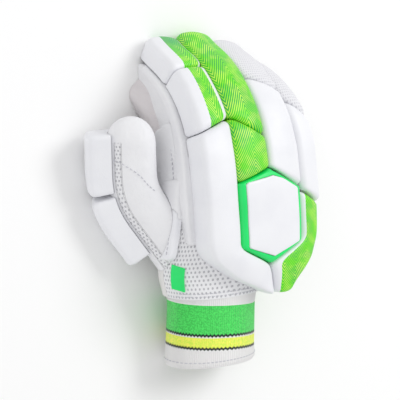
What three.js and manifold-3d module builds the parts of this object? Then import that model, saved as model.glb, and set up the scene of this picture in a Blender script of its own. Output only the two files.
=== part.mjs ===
// A cricket batting glove for the right hand, lying palm down on a table.
// Millimetres. +Z is up, the fingers point along +Y and the thumb is on the -X side. The origin is on
// the table, in the flat spot where the cuff's lower edge rests.
// The hand and the five stalls are hollow leather and mesh. Padded rolls are sewn to their backs.
import * as THREE from "three";
import { mergeVertices } from "three/addons/utils/BufferGeometryUtils.js";
import Module from "manifold-3d";

const wasm = await Module();
wasm.setup();

// Walls and clearances
const leatherWall = 2.4;
const cuffWall = 3;
const seamGap = 0.35;
const pressedFlat = 1.2;

// Cuff
const cuffLength = 56;
const cuffHalfWidth = 40.2;
const cuffHalfHeight = 24.5;
const cuffPressedFlat = 2;
const cuffOverhang = 6.3;
const cuffLean = 4.5;
const cuffClimb = 8.5;

// Hand, from the wrist seam to the knuckle line
const handLength = 114;
const wristHalfWidth = 43;
const wristHalfHeight = 25.5;
const knuckleShift = 14.5;
const knuckleRise = 38.7;
const knuckleHalfHeight = 25;
const knuckleMargin = 1.5;
const knuckleLean = 6.5;

// Arch of the knuckles: the roll of the back at the middle line, and how it grows towards the little
// finger, in degrees for each finger's width
const archRoll = 3.2;
const archTurn = 5.5;
const archCurl = 2.25;
const archDepth = 16;

// Fingers
const fingerPitch = 32.3;
const fingerLength = 80;
const fingerHalfWidth = 13.4;
const fingerHalfHeight = 22;
const fingerTaper = 0.7;
const fingerSink = 1;
const fingerClimb = -4;

// Thumb
const thumbLength = 126;
const thumbHalfWidth = 16;
const thumbHalfHeight = 20;
const thumbTaper = 0.94;
const thumbRootShift = -37;
const thumbRootBeyond = 26.4;
const thumbRootRise = 35.2;

// Padding
const rollThickness = 14;
const rollEdge = 4;
const rollCrown = 2.5;
const rollFoot = 0.8;
const bossThickness = 15;
const bossEdge = 5;
const bossCrown = 1;
const plateInset = 5.5;
const plateThickness = 4;
const plateRise = 1.5;
const plateEdge = 1.2;
const barThickness = 6;
const barAbove = 15;
const barBelow = 13;
const barEdge = 2.5;
const barCrown = 0.8;
const panelThickness = 4.5;
const panelAbove = 25;
const panelBelow = 3;
const panelTurn = 3;
const panelEdge = 1.2;
const panelCrown = 0.4;
const guardThickness = 15;
const guardHalfWidth = 14;
const guardCrown = 1.5;
const tagThickness = 1.2;
const tagHalfWidth = 5.5;
const tagEdge = 0.4;
const tabThickness = 2.2;
const tabHalfWidth = 6;
const tabEdge = 0.6;

// How far the hollows of the stalls reach into the hand
const rootOverlap = 12;

// How finely the rounded forms are faceted
const stallSides = 12;
const handSides = 24;
const rollStep = 16;
const sliver = 0.04;

const radians = THREE.MathUtils.degToRad;
const mix = THREE.MathUtils.lerp;
const smooth = THREE.MathUtils.smoothstep;

// Solids

function solidOf(geometry) {
  const bare = geometry.clone();
  bare.deleteAttribute("normal");
  bare.deleteAttribute("uv");
  const merged = mergeVertices(bare, 1e-3);
  const mesh = (triVerts) =>
    new wasm.Mesh({ numProp: 3, vertProperties: merged.attributes.position.array, triVerts });
  const triangles = new Uint32Array(merged.index.array);
  const made = new wasm.Manifold(mesh(triangles));
  if (made.volume() > 0) return made;
  return new wasm.Manifold(mesh(triangles.reverse()));
}

function geometryOf(solid) {
  const { numProp, vertProperties, triVerts } = solid.getMesh();
  const places = new Float32Array((vertProperties.length / numProp) * 3);
  for (let i = 0; i < places.length / 3; i++) {
    places.set(vertProperties.subarray(i * numProp, i * numProp + 3), i * 3);
  }
  const geometry = new THREE.BufferGeometry();
  geometry.setAttribute("position", new THREE.BufferAttribute(places, 3));
  geometry.setIndex(new THREE.BufferAttribute(new Uint32Array(triVerts), 1));
  const flat = geometry.toNonIndexed();
  flat.computeVertexNormals();
  return flat;
}

// The closed solid through rings of the same number of points, with flat ends.
function loft(rings) {
  const sides = rings[0].length;
  const places = [];
  const faces = [];
  rings.forEach((ring) => ring.forEach((p) => places.push(p.x, p.y, p.z)));
  for (let row = 0; row + 1 < rings.length; row++) {
    for (let i = 0; i < sides; i++) {
      const a = row * sides + i;
      const b = row * sides + ((i + 1) % sides);
      faces.push(a, b, b + sides, a, b + sides, a + sides);
    }
  }
  const close = (ring, offset, turned) => {
    const middle = ring.reduce((sum, p) => sum.add(p), new THREE.Vector3()).divideScalar(sides);
    const hub = places.length / 3;
    places.push(middle.x, middle.y, middle.z);
    for (let i = 0; i < sides; i++) {
      const a = offset + i;
      const b = offset + ((i + 1) % sides);
      faces.push(...(turned ? [hub, b, a] : [hub, a, b]));
    }
  };
  close(rings[0], 0, true);
  close(rings[rings.length - 1], (rings.length - 1) * sides, false);
  const geometry = new THREE.BufferGeometry();
  geometry.setAttribute("position", new THREE.Float32BufferAttribute(places, 3));
  geometry.setIndex(faces);
  return solidOf(geometry);
}

// A cut can leave crumbs beside the piece itself and slivers in its faces.
function mainBody(solid) {
  const largest = solid.decompose().reduce((a, b) => (b.volume() > a.volume() ? b : a));
  return largest.simplify(sliver);
}

// Limbs. A limb gives, at a distance s along it, a section: its centre, its frame, its half sizes
// and, where its back is arched, the drop and roll of the back at a place across it.

function placeIn(section, across, above) {
  const { drop, roll } = section.bow ? section.bow(across) : { drop: 0, roll: 0 };
  const depth = section.bow ? archDepth - above : 0;
  const shift = across - depth * Math.sin(radians(roll));
  const lift = above + drop + depth * (1 - Math.cos(radians(roll)));
  return section.centre
    .clone()
    .addScaledVector(section.side, shift)
    .addScaledVector(section.up, lift);
}

function frameFrom(leanDegrees, climbDegrees) {
  const lean = radians(leanDegrees);
  const climb = radians(climbDegrees);
  const along = new THREE.Vector3(
    -Math.sin(lean) * Math.cos(climb),
    Math.cos(lean) * Math.cos(climb),
    Math.sin(climb),
  );
  const side = new THREE.Vector3(Math.cos(lean), Math.sin(lean), 0);
  return { along, side, up: new THREE.Vector3().crossVectors(side, along) };
}

// The values of a table at a place between its rows, which are ordered by the column named key.
function valuesAt(rows, key, place) {
  let low = 0;
  while (low < rows.length - 2 && place > rows[low + 1][key]) low++;
  const [from, to] = [rows[low], rows[low + 1]];
  const share = THREE.MathUtils.clamp((place - from[key]) / (to[key] - from[key]), 0, 1);
  return (name) => mix(from[name], to[name], share);
}

const roundness = { wrist: 2.2, knuckle: 3.4, stall: 2.4 };

// Cuff: a towelling tube, a little flared at its open end and where it meets the hand.
const cuffRows = [
  { along: 0, size: 1.03 },
  { along: 0.16, size: 1 },
  { along: 0.84, size: 0.98 },
  { along: 1, size: 1.01 },
];
const cuffFrame = frameFrom(cuffLean, cuffClimb);
// Its lower edge is pressed flat, and overhangs the middle of that flat spot at the open end.
const cuffRest = cuffHalfHeight * cuffRows[0].size - cuffPressedFlat;
const cuffMouth = new THREE.Vector3(0, -cuffOverhang, cuffRest);

function cuffSection(s) {
  const column = valuesAt(cuffRows, "along", s / cuffLength);
  return {
    ...cuffFrame,
    centre: cuffMouth.clone().addScaledVector(cuffFrame.along, s),
    halfWidth: cuffHalfWidth * column("size"),
    halfHeight: cuffHalfHeight * column("size"),
    roundness: roundness.wrist,
  };
}

// The hand's sections, from the wrist to the knuckles. Each column is a share of the way from the
// wrist's value to the knuckles' value.
const handRows = [
  { along: 0, width: 0, height: 0, rise: 0, shift: 0, lean: 0, climb: 1, square: 0, arch: 0.2 },
  {
    ...{ along: 0.08, width: 0.38, height: 0.1, rise: 0.16, shift: 0.14 },
    ...{ lean: 0.1, climb: 0.9, square: 0.1, arch: 0.3 },
  },
  {
    ...{ along: 0.21, width: 0.76, height: 0.25, rise: 0.42, shift: 0.4 },
    ...{ lean: 0.3, climb: 0.7, square: 0.3, arch: 0.5 },
  },
  {
    ...{ along: 0.41, width: 0.98, height: 0.5, rise: 0.8, shift: 0.78 },
    ...{ lean: 0.6, climb: 0.3, square: 0.7, arch: 0.8 },
  },
  { along: 0.62, width: 1.02, height: 0.9, rise: 1, shift: 0.98, lean: 0.9, climb: 0, square: 1, arch: 1 },
  {
    ...{ along: 0.83, width: 1.01, height: 1, rise: 1.06, shift: 1.06 },
    ...{ lean: 1, climb: -0.15, square: 1, arch: 1 },
  },
  { along: 1, width: 1, height: 1, rise: 1, shift: 1, lean: 1, climb: -0.4, square: 1, arch: 1 },
];
const knuckleHalfWidth = 1.5 * fingerPitch + fingerHalfWidth + knuckleMargin;
const wristCentre = cuffSection(cuffLength + seamGap).centre;
const knuckleLine = {
  ...frameFrom(knuckleLean, 0),
  centre: new THREE.Vector3(knuckleShift, wristCentre.y + handLength, knuckleRise),
};

// The arch at a distance across from the hand's middle column line.
function archAt(across) {
  const column = across / fingerPitch;
  const turned = archRoll * column + (archTurn * column ** 2) / 2 + (archCurl * column ** 3) / 3;
  return {
    drop: -fingerPitch * radians(turned),
    roll: archRoll + archTurn * column + archCurl * column ** 2,
  };
}

function handSection(s) {
  const share = s / handLength;
  const column = valuesAt(handRows, "along", share);
  const frame = frameFrom(
    mix(cuffLean, knuckleLean, column("lean")),
    mix(0, cuffClimb, column("climb")),
  );
  const centre = new THREE.Vector3(
    mix(wristCentre.x, knuckleShift, column("shift")),
    mix(wristCentre.y, knuckleLine.centre.y, share),
    mix(wristCentre.z, knuckleRise, column("rise")),
  );
  const offLine = centre.clone().sub(knuckleLine.centre).dot(knuckleLine.side);
  const fade = column("arch");
  return {
    ...frame,
    centre,
    offLine,
    fade,
    bow: (across) => {
      const { drop, roll } = archAt(across + offLine);
      return { drop: drop * fade, roll: roll * fade };
    },
    halfWidth: mix(wristHalfWidth, knuckleHalfWidth, column("width")),
    halfHeight: mix(wristHalfHeight, knuckleHalfHeight, column("height")),
    roundness: mix(roundness.wrist, roundness.knuckle, column("square")),
  };
}

// The back of the hand as the padding sees it: straight columns that run back from the knuckles.
function backSection(s, from = 0) {
  const section = handSection(handLength + s);
  const { fade } = section;
  return {
    ...section,
    centre: section.centre.clone().addScaledVector(section.side, from - section.offLine),
    bow: (across) => {
      const { drop, roll } = archAt(across + from);
      return { drop: drop * fade, roll: roll * fade };
    },
  };
}

// A limb that starts at a frame and bends towards its palm side. The bends are rows of a share of the
// limb's length, the degrees turned there and the share of the length over which it turns.
function bentLimb({ start, frame, length, halfWidth, halfHeight, taper, bends, droop }) {
  const steps = 120;
  const sections = [];
  const centre = start.clone();
  for (let i = 0; i <= steps; i++) {
    const share = i / steps;
    const turned = bends.reduce(
      (sum, bend) => sum + bend.turn * smooth(share, bend.at - bend.reach, bend.at + bend.reach),
      droop * smooth(share, 0, 0.2),
    );
    const turn = new THREE.Quaternion().setFromAxisAngle(frame.side, -radians(turned));
    const along = frame.along.clone().applyQuaternion(turn);
    const up = frame.up.clone().applyQuaternion(turn);
    sections.push({ centre: centre.clone(), along, up });
    centre.addScaledVector(along, length / steps);
  }
  return (s) => {
    const place = THREE.MathUtils.clamp((s / length) * steps, 0, steps - 1e-3);
    const low = Math.floor(place);
    const [a, b] = [sections[low], sections[low + 1]];
    const t = place - low;
    const past = s - THREE.MathUtils.clamp(s, 0, length);
    const size = mix(1, taper, THREE.MathUtils.clamp(s / length, 0, 1));
    return {
      centre: a.centre.clone().lerp(b.centre, t).addScaledVector(a.along, past),
      along: a.along.clone().lerp(b.along, t).normalize(),
      up: a.up.clone().lerp(b.up, t).normalize(),
      side: frame.side,
      halfWidth: halfWidth * mix(1, size, 0.5),
      halfHeight: halfHeight * size,
      roundness: roundness.stall,
    };
  };
}

// The same limb rolled about its own line.
function rolled(limb, rollDegrees) {
  return (s) => {
    const section = limb(s);
    const turn = new THREE.Quaternion().setFromAxisAngle(section.along, radians(rollDegrees));
    return {
      ...section,
      side: section.side.clone().applyQuaternion(turn),
      up: section.up.clone().applyQuaternion(turn),
    };
  };
}

function skinRing(section, sides, grown = 0, scale = 1) {
  const ring = [];
  for (let i = 0; i < sides; i++) {
    const angle = ((i + 0.5) / sides) * 2 * Math.PI;
    const bulge = (value) => Math.sign(value) * Math.abs(value) ** (2 / section.roundness);
    const across = (section.halfWidth + grown) * bulge(Math.cos(angle)) * scale;
    const above = (section.halfHeight + grown) * bulge(Math.sin(angle)) * scale;
    ring.push(placeIn(section, across, above));
  }
  return ring;
}

// The outer or inner form of a stall: a tube with a rounded tip.
const stallStations = [0, 0.2, 0.34, 0.46, 0.58, 0.7, 0.84];
const tipAngles = [28, 54, 76];
function stallForm(limb, length, grown, from) {
  const last = stallStations[stallStations.length - 1];
  const tipReach = (1 - last) * length;
  const rings = stallStations.map((share) => {
    return skinRing(limb(share === 0 ? from : share * length), stallSides, grown);
  });
  for (const angle of tipAngles) {
    const s = last * length + (tipReach + grown) * Math.sin(radians(angle));
    rings.push(skinRing(limb(s), stallSides, grown, Math.cos(radians(angle))));
  }
  return loft(rings);
}

// The angle at which a form that turns with it comes down onto the table and is pressed flat there.
function settled(makeForm, low, high) {
  for (let i = 0; i < 16; i++) {
    const middle = (low + high) / 2;
    if (makeForm(middle).boundingBox().min[2] > -pressedFlat) low = middle;
    else high = middle;
  }
  return (low + high) / 2;
}

// Fingers: the column each stands in, its length as a share of the longest's, and its lean.
const fingerRows = [
  { name: "index", column: -1.5, reach: 0.94, lean: 2.5 },
  { name: "middle", column: -0.5, reach: 0.96, lean: 3.5 },
  { name: "ring", column: 0.5, reach: 0.87, lean: 5 },
  { name: "little", column: 1.5, reach: 0.68, lean: 9 },
];
const fingerBends = [
  { at: 0.27, turn: 25, reach: 0.3 },
  { at: 0.68, turn: 20, reach: 0.26 },
];

const fingers = fingerRows.map(({ name, column, reach, lean }) => {
  const length = fingerLength * reach;
  const from = column * fingerPitch;
  const here = archAt(from);
  const makeLimb = (droop) =>
    rolled(
      bentLimb({
        start: placeIn(backSection(0, from), 0, knuckleHalfHeight - fingerHalfHeight - fingerSink),
        frame: frameFrom(lean, fingerClimb),
        length,
        halfWidth: fingerHalfWidth,
        halfHeight: fingerHalfHeight,
        taper: fingerTaper,
        bends: fingerBends,
        droop,
      }),
      here.roll,
    );
  const droop = settled((angle) => stallForm(makeLimb(angle), length, 0, 0), -30, 60);
  const limb = makeLimb(droop);
  // The finger's ray: back over the hand for s below 0, and along the finger above it.
  const ray = (s) => {
    if (s < 0) return backSection(s, from);
    const bow = (across) => {
      const { drop, roll } = archAt(from + across);
      const flat = here.drop - across * Math.sin(radians(here.roll));
      return { drop: drop - flat, roll: roll - here.roll };
    };
    return { ...limb(s), bow };
  };
  return { name, column, length, limb, ray, droop };
});
const fingerNamed = (name) => fingers.find((finger) => finger.name === name);

// Pads. Each pad is lofted through rows of a place along a limb and its left and right edges there,
// and has a rounded edge and a crowned top. skew is how much further along its right edge lies.
function padRing(section, row, pad, grown) {
  const { left, right } = row;
  const width = right - left;
  const edge = Math.min(pad.edge, width / 2.2);
  const skin = section.halfHeight;
  const foot = skin * pad.foot - grown;
  const top = skin + row.thickness;
  const middle = (left + right) / 2;
  const crown = (x) => top + pad.crown * (1 - ((2 * (x - middle)) / width) ** 2);
  const outline = [
    [left, top - edge],
    [left + 0.3 * edge, top - 0.3 * edge],
    [left + edge, crown(left + edge)],
    [(left + middle) / 2, crown((left + middle) / 2)],
    [middle, crown(middle)],
    [(right + middle) / 2, crown((right + middle) / 2)],
    [right - edge, crown(right - edge)],
    [right - 0.3 * edge, top - 0.3 * edge],
    [right, top - edge],
  ].map(([x, z]) => [x, Math.max(z - (row.sunk ?? 0) * edge, foot + 1)]);
  return [[left, foot], ...outline, [right, foot]];
}

// grown is how much larger than the pad the form is on every side.
function padForm(limb, rows, pad, grown = 0) {
  const last = rows.length - 1;
  const wide = rows.map((row, i) => ({
    ...row,
    s: row.s + (i === 0 ? -grown : i === last ? grown : 0),
    left: row.left - grown,
    right: row.right + grown,
    thickness: (row.thickness ?? pad.thickness) + grown,
  }));
  return loft(
    padRows(wide, pad.edge).map((row) => {
      const ring = padRing(limb(row.s), row, pad, grown);
      const middle = (row.left + row.right) / 2;
      const width = Math.max(row.right - row.left, 1);
      return ring.map(([x, z]) => {
        const turned = THREE.MathUtils.clamp((x - middle) / width, -0.5, 0.5);
        return placeIn(limb(row.s + (row.skew ?? 0) * turned), x, z);
      });
    }),
  );
}

// The row of a pad's table at a place between two of its rows.
function rowBetween(a, b, s) {
  const share = (s - a.s) / (b.s - a.s);
  const row = { s };
  for (const name of ["left", "right", "thickness"]) row[name] = mix(a[name], b[name], share);
  row.skew = mix(a.skew ?? 0, b.skew ?? 0, share);
  return row;
}

// The table's rows, with more between them where they are far apart, and rounded ends.
function padRows(rows, edge) {
  const full = [rows[0]];
  for (let i = 0; i + 1 < rows.length; i++) {
    const [a, b] = [rows[i], rows[i + 1]];
    const steps = Math.max(1, Math.ceil((b.s - a.s) / rollStep));
    for (let k = 1; k <= steps; k++) full.push(rowBetween(a, b, mix(a.s, b.s, k / steps)));
  }
  const last = full.length - 1;
  return [
    { ...full[0], sunk: 1 },
    { ...rowBetween(full[0], full[1], full[0].s + 0.3 * edge), sunk: 0.3 },
    rowBetween(full[0], full[1], full[0].s + edge),
    ...full.slice(1, last),
    rowBetween(full[last - 1], full[last], full[last].s - edge),
    { ...rowBetween(full[last - 1], full[last], full[last].s - 0.3 * edge), sunk: 0.3 },
    { ...full[last], sunk: 1 },
  ];
}

// The rows of a pad whose edges and skew are given in columns, its edges measured from the column of
// its own ray. The place along is a share of the hand's length back from the knuckles or of the
// finger's length. thick is a share of the rolls' thickness.
function columnRows(of, rows, length) {
  return rows.map(({ hand, finger, left, right, skew = 0, thick = 1 }) => ({
    s: hand !== undefined ? hand * handLength : finger * length,
    left: (left - of) * fingerPitch + seamGap / 2,
    right: (right - of) * fingerPitch - seamGap / 2,
    skew: skew * fingerPitch,
    thickness: thick * rollThickness,
  }));
}

const rollPad = {
  foot: rollFoot,
  thickness: rollThickness,
  edge: rollEdge,
  crown: rollCrown,
};

// Where the padding is split. Column boundaries run from -2, the index finger's edge, to 2, the
// little finger's. hand is a share of the hand's length from the knuckles, finger of the finger's.
const split = 0.006;
const boss = [
  { hand: -0.781, left: -0.05, right: -0.05 },
  { hand: -0.66, left: -1, right: 0.95 },
  { hand: -0.309, left: -1, right: 0.95 },
  { hand: -0.233, left: -1, right: 0.5 },
  { hand: -0.156, left: 0, right: 0 },
];
const bossSkews = { middle: 0.28, ring: -0.53 };
const indexSplits = [
  { finger: 0.17, skew: 0.22 },
  { finger: 0.69, skew: 0.09 },
];
const middleSplit = { finger: 0.145, skew: -0.34 };
const ringSplit = { finger: 0.5, skew: -0.28 };
const littleSplit = { finger: 0.26, skew: -0.34 };
const edgeSplit = { hand: -0.384, skew: -0.37 };
const tipEnd = { finger: 1.24 };

const past = (row, by) => {
  const name = row.hand !== undefined ? "hand" : "finger";
  return { ...row, [name]: row[name] + by };
};

// Supports: the forms that the padding is sewn onto, a seam's gap larger than they are.
const handStations = [0, 0.08, 0.21, 0.41, 0.62, 0.83, 1];
function handForm(grown, before = 0, after = 0) {
  const last = handStations.length - 1;
  return loft(
    handStations.map((share, i) => {
      const s = share * handLength - (i === 0 ? before : 0) + (i === last ? after : 0);
      return skinRing(handSection(s), handSides, grown);
    }),
  );
}
const handGrown = handForm(seamGap, seamGap, seamGap);
const stallsGrown = fingers.map(({ limb, length }) => stallForm(limb, length, seamGap, -seamGap));
const supports = [handGrown, ...stallsGrown];

// The table: everything soft is pressed flat on it.
const tableReach = 900;
const table = solidOf(
  new THREE.BoxGeometry(tableReach, tableReach, tableReach).translate(0, 0, -tableReach / 2),
);

function without(form, ...others) {
  return others.reduce((rest, other) => rest.subtract(other), form);
}

const pieces = new Map();
function keep(name, solid, look) {
  pieces.set(name, { solid: mainBody(solid.subtract(table)), look });
}

const looks = {
  whiteLeather: { color: 0xf4f4f5, roughness: 0.55, metalness: 0 },
  whiteMesh: { color: 0xe2e2e6, roughness: 0.85, metalness: 0 },
  palmLeather: { color: 0xd8d6d2, roughness: 0.7, metalness: 0 },
  greenPrint: { color: 0x62e23a, roughness: 0.5, metalness: 0 },
  greenBoss: { color: 0x10d860, roughness: 0.4, metalness: 0 },
  towelling: { color: 0xf1efee, roughness: 0.95, metalness: 0 },
};

// Thumb: it leaves the radial side of the hand, its back turned outwards and down.
const thumbLean = 39;
const thumbRoll = -123;
const thumbBends = [{ at: 0.52, turn: 34, reach: 0.17 }];
const guardPad = { foot: 0.84, thickness: guardThickness, edge: rollEdge, crown: guardCrown };
const guardSplit = 0.56;
const guardEnds = [0.177, 0.905];

function makeThumb(climb) {
  const { along, side, up } = frameFrom(thumbLean, climb);
  const roll = new THREE.Quaternion().setFromAxisAngle(along, radians(thumbRoll));
  return bentLimb({
    start: new THREE.Vector3(thumbRootShift, wristCentre.y + thumbRootBeyond, thumbRootRise),
    frame: { along, side: side.applyQuaternion(roll), up: up.applyQuaternion(roll) },
    length: thumbLength,
    halfWidth: thumbHalfWidth,
    halfHeight: thumbHalfHeight,
    taper: thumbTaper,
    bends: thumbBends,
    droop: 0,
  });
}

function guardForm(limb, from, to) {
  const edges = { left: -guardHalfWidth, right: guardHalfWidth };
  const rows = [
    { s: from * thumbLength, ...edges },
    { s: to * thumbLength, ...edges },
  ];
  return padForm(limb, rows, guardPad);
}
const thumbClimb = -settled((drop) => guardForm(makeThumb(-drop), ...guardEnds), -20, 30);
const thumb = makeThumb(thumbClimb);
const thumbGrown = stallForm(thumb, thumbLength, seamGap, 0);
const thumbInside = stallForm(thumb, thumbLength, -leatherWall, 0);

// Hollow body

function buildCuff() {
  const form = (grown, beyond) =>
    loft(
      cuffRows.map(({ along }, i) => {
        const section = cuffSection(along * cuffLength);
        const out = i === 0 ? -beyond : i === cuffRows.length - 1 ? beyond : 0;
        section.centre.addScaledVector(section.along, out);
        return skinRing(section, handSides, grown);
      }),
    );
  keep("cuff", form(0, 0).subtract(form(-cuffWall, cuffWall)), looks.towelling);
  const tab = { foot: 0, thickness: tabThickness, edge: tabEdge, crown: 0 };
  const edges = { left: -tabHalfWidth, right: tabHalfWidth };
  const rows = [
    { s: 0.12 * cuffLength, ...edges },
    { s: 0.36 * cuffLength, ...edges },
  ];
  const tabForm = padForm(flank(cuffSection, 95), rows, tab);
  keep("cuff_tab", without(tabForm, form(seamGap, seamGap)), looks.towelling);
}

// The hand is sewn from a leather palm and a mesh back, which meet along its sides.
function buildHand() {
  const hollow = handForm(-leatherWall, 2 * leatherWall, -leatherWall);
  const roots = fingers.map(({ limb, length }) => {
    return stallForm(limb, length, -leatherWall, -rootOverlap);
  });
  const shell = without(handForm(0), hollow, thumbInside, ...roots);
  const upper = (lift) =>
    loft(
      handStations.map((share) => {
        const section = handSection(mix(-0.05, 1.05, share) * handLength);
        const reach = 1.6 * section.halfWidth;
        const flat = { ...section, bow: undefined };
        return [
          placeIn(flat, -reach, lift),
          placeIn(flat, reach, lift),
          placeIn(flat, reach, reach),
          placeIn(flat, -reach, reach),
        ];
      }),
    );
  keep("palm", shell.subtract(upper(0)), looks.palmLeather);
  keep("back_panel", shell.intersect(upper(seamGap)), looks.whiteMesh);
}

function buildStalls() {
  for (const { name, length, limb } of fingers) {
    const outside = stallForm(limb, length, 0, 2 * seamGap);
    const inside = stallForm(limb, length, -leatherWall, -leatherWall);
    keep(name + "_stall", without(outside, inside, handGrown), looks.palmLeather);
  }
  const outside = stallForm(thumb, thumbLength, 0, 0);
  keep("thumb_stall", without(outside, thumbInside, handGrown), looks.whiteLeather);
}

// A limb on another limb's skin: its centre is on the skin at a girth angle measured from the crest,
// and its up points straight out of it.
function flank(limb, angleDegrees) {
  const angle = radians(angleDegrees);
  const across = Math.sin(angle);
  const above = Math.cos(angle);
  return (s) => {
    const section = limb(s);
    const power = section.roundness;
    const size = (Math.abs(across) ** power + Math.abs(above) ** power) ** (-1 / power);
    const slope = (share, half) => (Math.sign(share) * Math.abs(share * size) ** (power - 1)) / half;
    const centre = placeIn(section, across * size * section.halfWidth, above * size * section.halfHeight);
    const up = new THREE.Vector3()
      .addScaledVector(section.side, slope(across, section.halfWidth))
      .addScaledVector(section.up, slope(above, section.halfHeight))
      .normalize();
    const side = new THREE.Vector3().crossVectors(section.along, up).normalize();
    return { ...section, centre, up, side, bow: undefined, halfHeight: 0 };
  };
}

function buildRolls() {
  const [index, middle, ring, little] = fingers;
  // A roll is trimmed to the rolls beside it that are already in place.
  const placed = new Map();
  const roll = (name, finger, rows, look, ...beside) => {
    const form = (grown) =>
      padForm(finger.ray, columnRows(finger.column, rows, finger.length), rollPad, grown);
    placed.set(name, form(seamGap));
    keep(name, without(form(0), ...supports, ...beside.map((other) => placed.get(other))), look);
  };
  const between = (from, to, left, right = left + 1) => [
    { ...from, left, right },
    { ...to, left, right },
  ];
  roll(
    "index_base_pad",
    index,
    [
      { hand: -1, left: 0, right: 0.18, thick: 0.64 },
      { hand: -0.859, left: -1.14, right: 0.07, thick: 0.79 },
      { hand: -0.781 - split, left: -1.5, right: -0.05, thick: 0.89 },
      { hand: -0.727, left: -1.82, right: -0.5, thick: 0.96 },
      { hand: -0.66, left: -1.96, right: -1 },
      { hand: -0.586, left: -2, right: -1 },
      { ...past(indexSplits[0], -split), left: -2, right: -1 },
    ],
    looks.whiteLeather,
  );
  roll("index_mid_pad", index, between(indexSplits[0], past(indexSplits[1], -split), -2), looks.greenPrint);
  roll("index_tip_pad", index, between(indexSplits[1], tipEnd, -2), looks.greenPrint);
  roll(
    "middle_mid_pad",
    middle,
    between({ hand: -0.195 + split, skew: bossSkews.middle }, past(middleSplit, -split), -1),
    looks.greenPrint,
    "index_base_pad",
    "index_mid_pad",
  );
  roll(
    "middle_tip_pad",
    middle,
    between(middleSplit, tipEnd, -1),
    looks.greenPrint,
    "index_mid_pad",
    "index_tip_pad",
  );
  roll(
    "ring_mid_pad",
    ring,
    between({ hand: -0.233 + split, skew: bossSkews.ring }, past(ringSplit, -split), 0),
    looks.whiteLeather,
    "middle_mid_pad",
    "middle_tip_pad",
  );
  roll(
    "ring_tip_pad",
    ring,
    between(ringSplit, tipEnd, 0),
    looks.whiteMesh,
    "middle_tip_pad",
  );
  roll(
    "little_base_pad",
    little,
    between(edgeSplit, past(littleSplit, -split), 1, 1.66),
    looks.whiteLeather,
    "ring_mid_pad",
  );
  roll(
    "little_tip_pad",
    little,
    between(littleSplit, tipEnd, 1, 1.66),
    looks.whiteMesh,
    "ring_mid_pad",
    "ring_tip_pad",
  );
  roll(
    "edge_pad",
    little,
    [
      { hand: -1, left: 0.2, right: 0.7, thick: 0.64 },
      { hand: -0.917, left: 0.14, right: 0.88, thick: 0.79 },
      { hand: -0.851, left: 0.08, right: 1.14, thick: 0.86 },
      { hand: -0.781, left: -0.05, right: 1.38, thick: 0.89 },
      { hand: -0.66, left: 0.95, right: 1.5, thick: 0.93 },
      { ...past(edgeSplit, -split), left: 0.95, right: 1.58, thick: 0.93 },
    ],
    looks.greenPrint,
  );
}

function bossRows(inset) {
  const last = boss.length - 1;
  return columnRows(0, boss, 0).map((row, i) => {
    const point = i === 0 || i === last;
    const inward = point ? -seamGap : inset;
    const along = i === 0 ? inset : i === last ? -inset : 0;
    return { s: row.s + along, left: row.left + inward, right: row.right - inward };
  });
}

function buildBoss() {
  const block = { ...rollPad, thickness: bossThickness, edge: bossEdge, crown: bossCrown };
  const top = bossThickness + plateRise;
  const skin = backSection(-0.4 * handLength).halfHeight;
  const plateForm = (inset, lift, thickness) => {
    const foot = (skin + top - plateThickness + lift) / skin;
    return padForm(backSection, bossRows(inset), { foot, thickness, edge: plateEdge, crown: bossCrown });
  };
  const socket = plateForm(plateInset - seamGap, -seamGap, 2 * top);
  const blockForm = padForm(backSection, bossRows(0), block);
  keep("boss_block", without(blockForm, socket, ...supports), looks.greenBoss);
  keep("boss_plate", plateForm(plateInset, 0, top), looks.whiteLeather);
}

// The padding that the side pieces must stay clear of.
function rollClearance() {
  const [index] = fingers;
  const rows = columnRows(
    index.column,
    [
      { hand: -0.98, left: -2, right: -1 },
      { finger: 0.9, left: -2, right: -1 },
    ],
    index.length,
  );
  rows.forEach((row) => (row.left -= 2 * seamGap));
  return padForm(index.ray, rows, { ...rollPad, foot: rollFoot - 0.04 });
}

function buildSidePieces() {
  const [index] = fingers;
  const clear = [...supports, thumbGrown, rollClearance()];
  const side = (name, limb, rows, pad, look) => {
    keep(name, without(padForm(limb, rows, { foot: 0, ...pad }), ...clear), look);
  };
  const bar = { left: -barAbove, right: barBelow };
  side(
    "side_bar",
    flank(handSection, -90),
    [
      { s: 0.28 * handLength, ...bar },
      { s: 0.64 * handLength, ...bar },
    ],
    { thickness: barThickness, edge: barEdge, crown: barCrown },
    looks.whiteLeather,
  );
  side(
    "flex_panel",
    flank(index.limb, -90),
    [
      { s: -0.42 * index.length, left: -panelAbove, right: panelBelow },
      { s: 0.26 * index.length, left: panelTurn - panelAbove, right: panelBelow },
    ],
    { thickness: panelThickness, edge: panelEdge, crown: panelCrown },
    looks.whiteLeather,
  );
  const tag = { left: -tagHalfWidth, right: tagHalfWidth };
  side(
    "wrist_tag",
    flank(handSection, -66),
    [
      { s: 0.07 * handLength, ...tag },
      { s: 0.24 * handLength, ...tag },
    ],
    { thickness: tagThickness, edge: tagEdge, crown: 0 },
    looks.greenBoss,
  );
}

function buildThumbGuards() {
  const [from, to] = guardEnds;
  const base = guardForm(thumb, from, guardSplit - 0.01);
  const tip = guardForm(thumb, guardSplit + 0.01, to);
  keep("thumb_base_guard", without(base, handGrown, thumbGrown), looks.whiteLeather);
  keep("thumb_tip_guard", without(tip, handGrown, thumbGrown), looks.whiteLeather);
}

buildCuff();
buildHand();
buildStalls();
buildRolls();
buildBoss();
buildSidePieces();
buildThumbGuards();

const glove = new THREE.Group();
glove.name = "cricket_batting_glove";
for (const [name, { solid, look }] of pieces) {
  const mesh = new THREE.Mesh(geometryOf(solid), new THREE.MeshStandardMaterial(look));
  mesh.name = name;
  glove.add(mesh);
}

export default glove;
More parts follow.
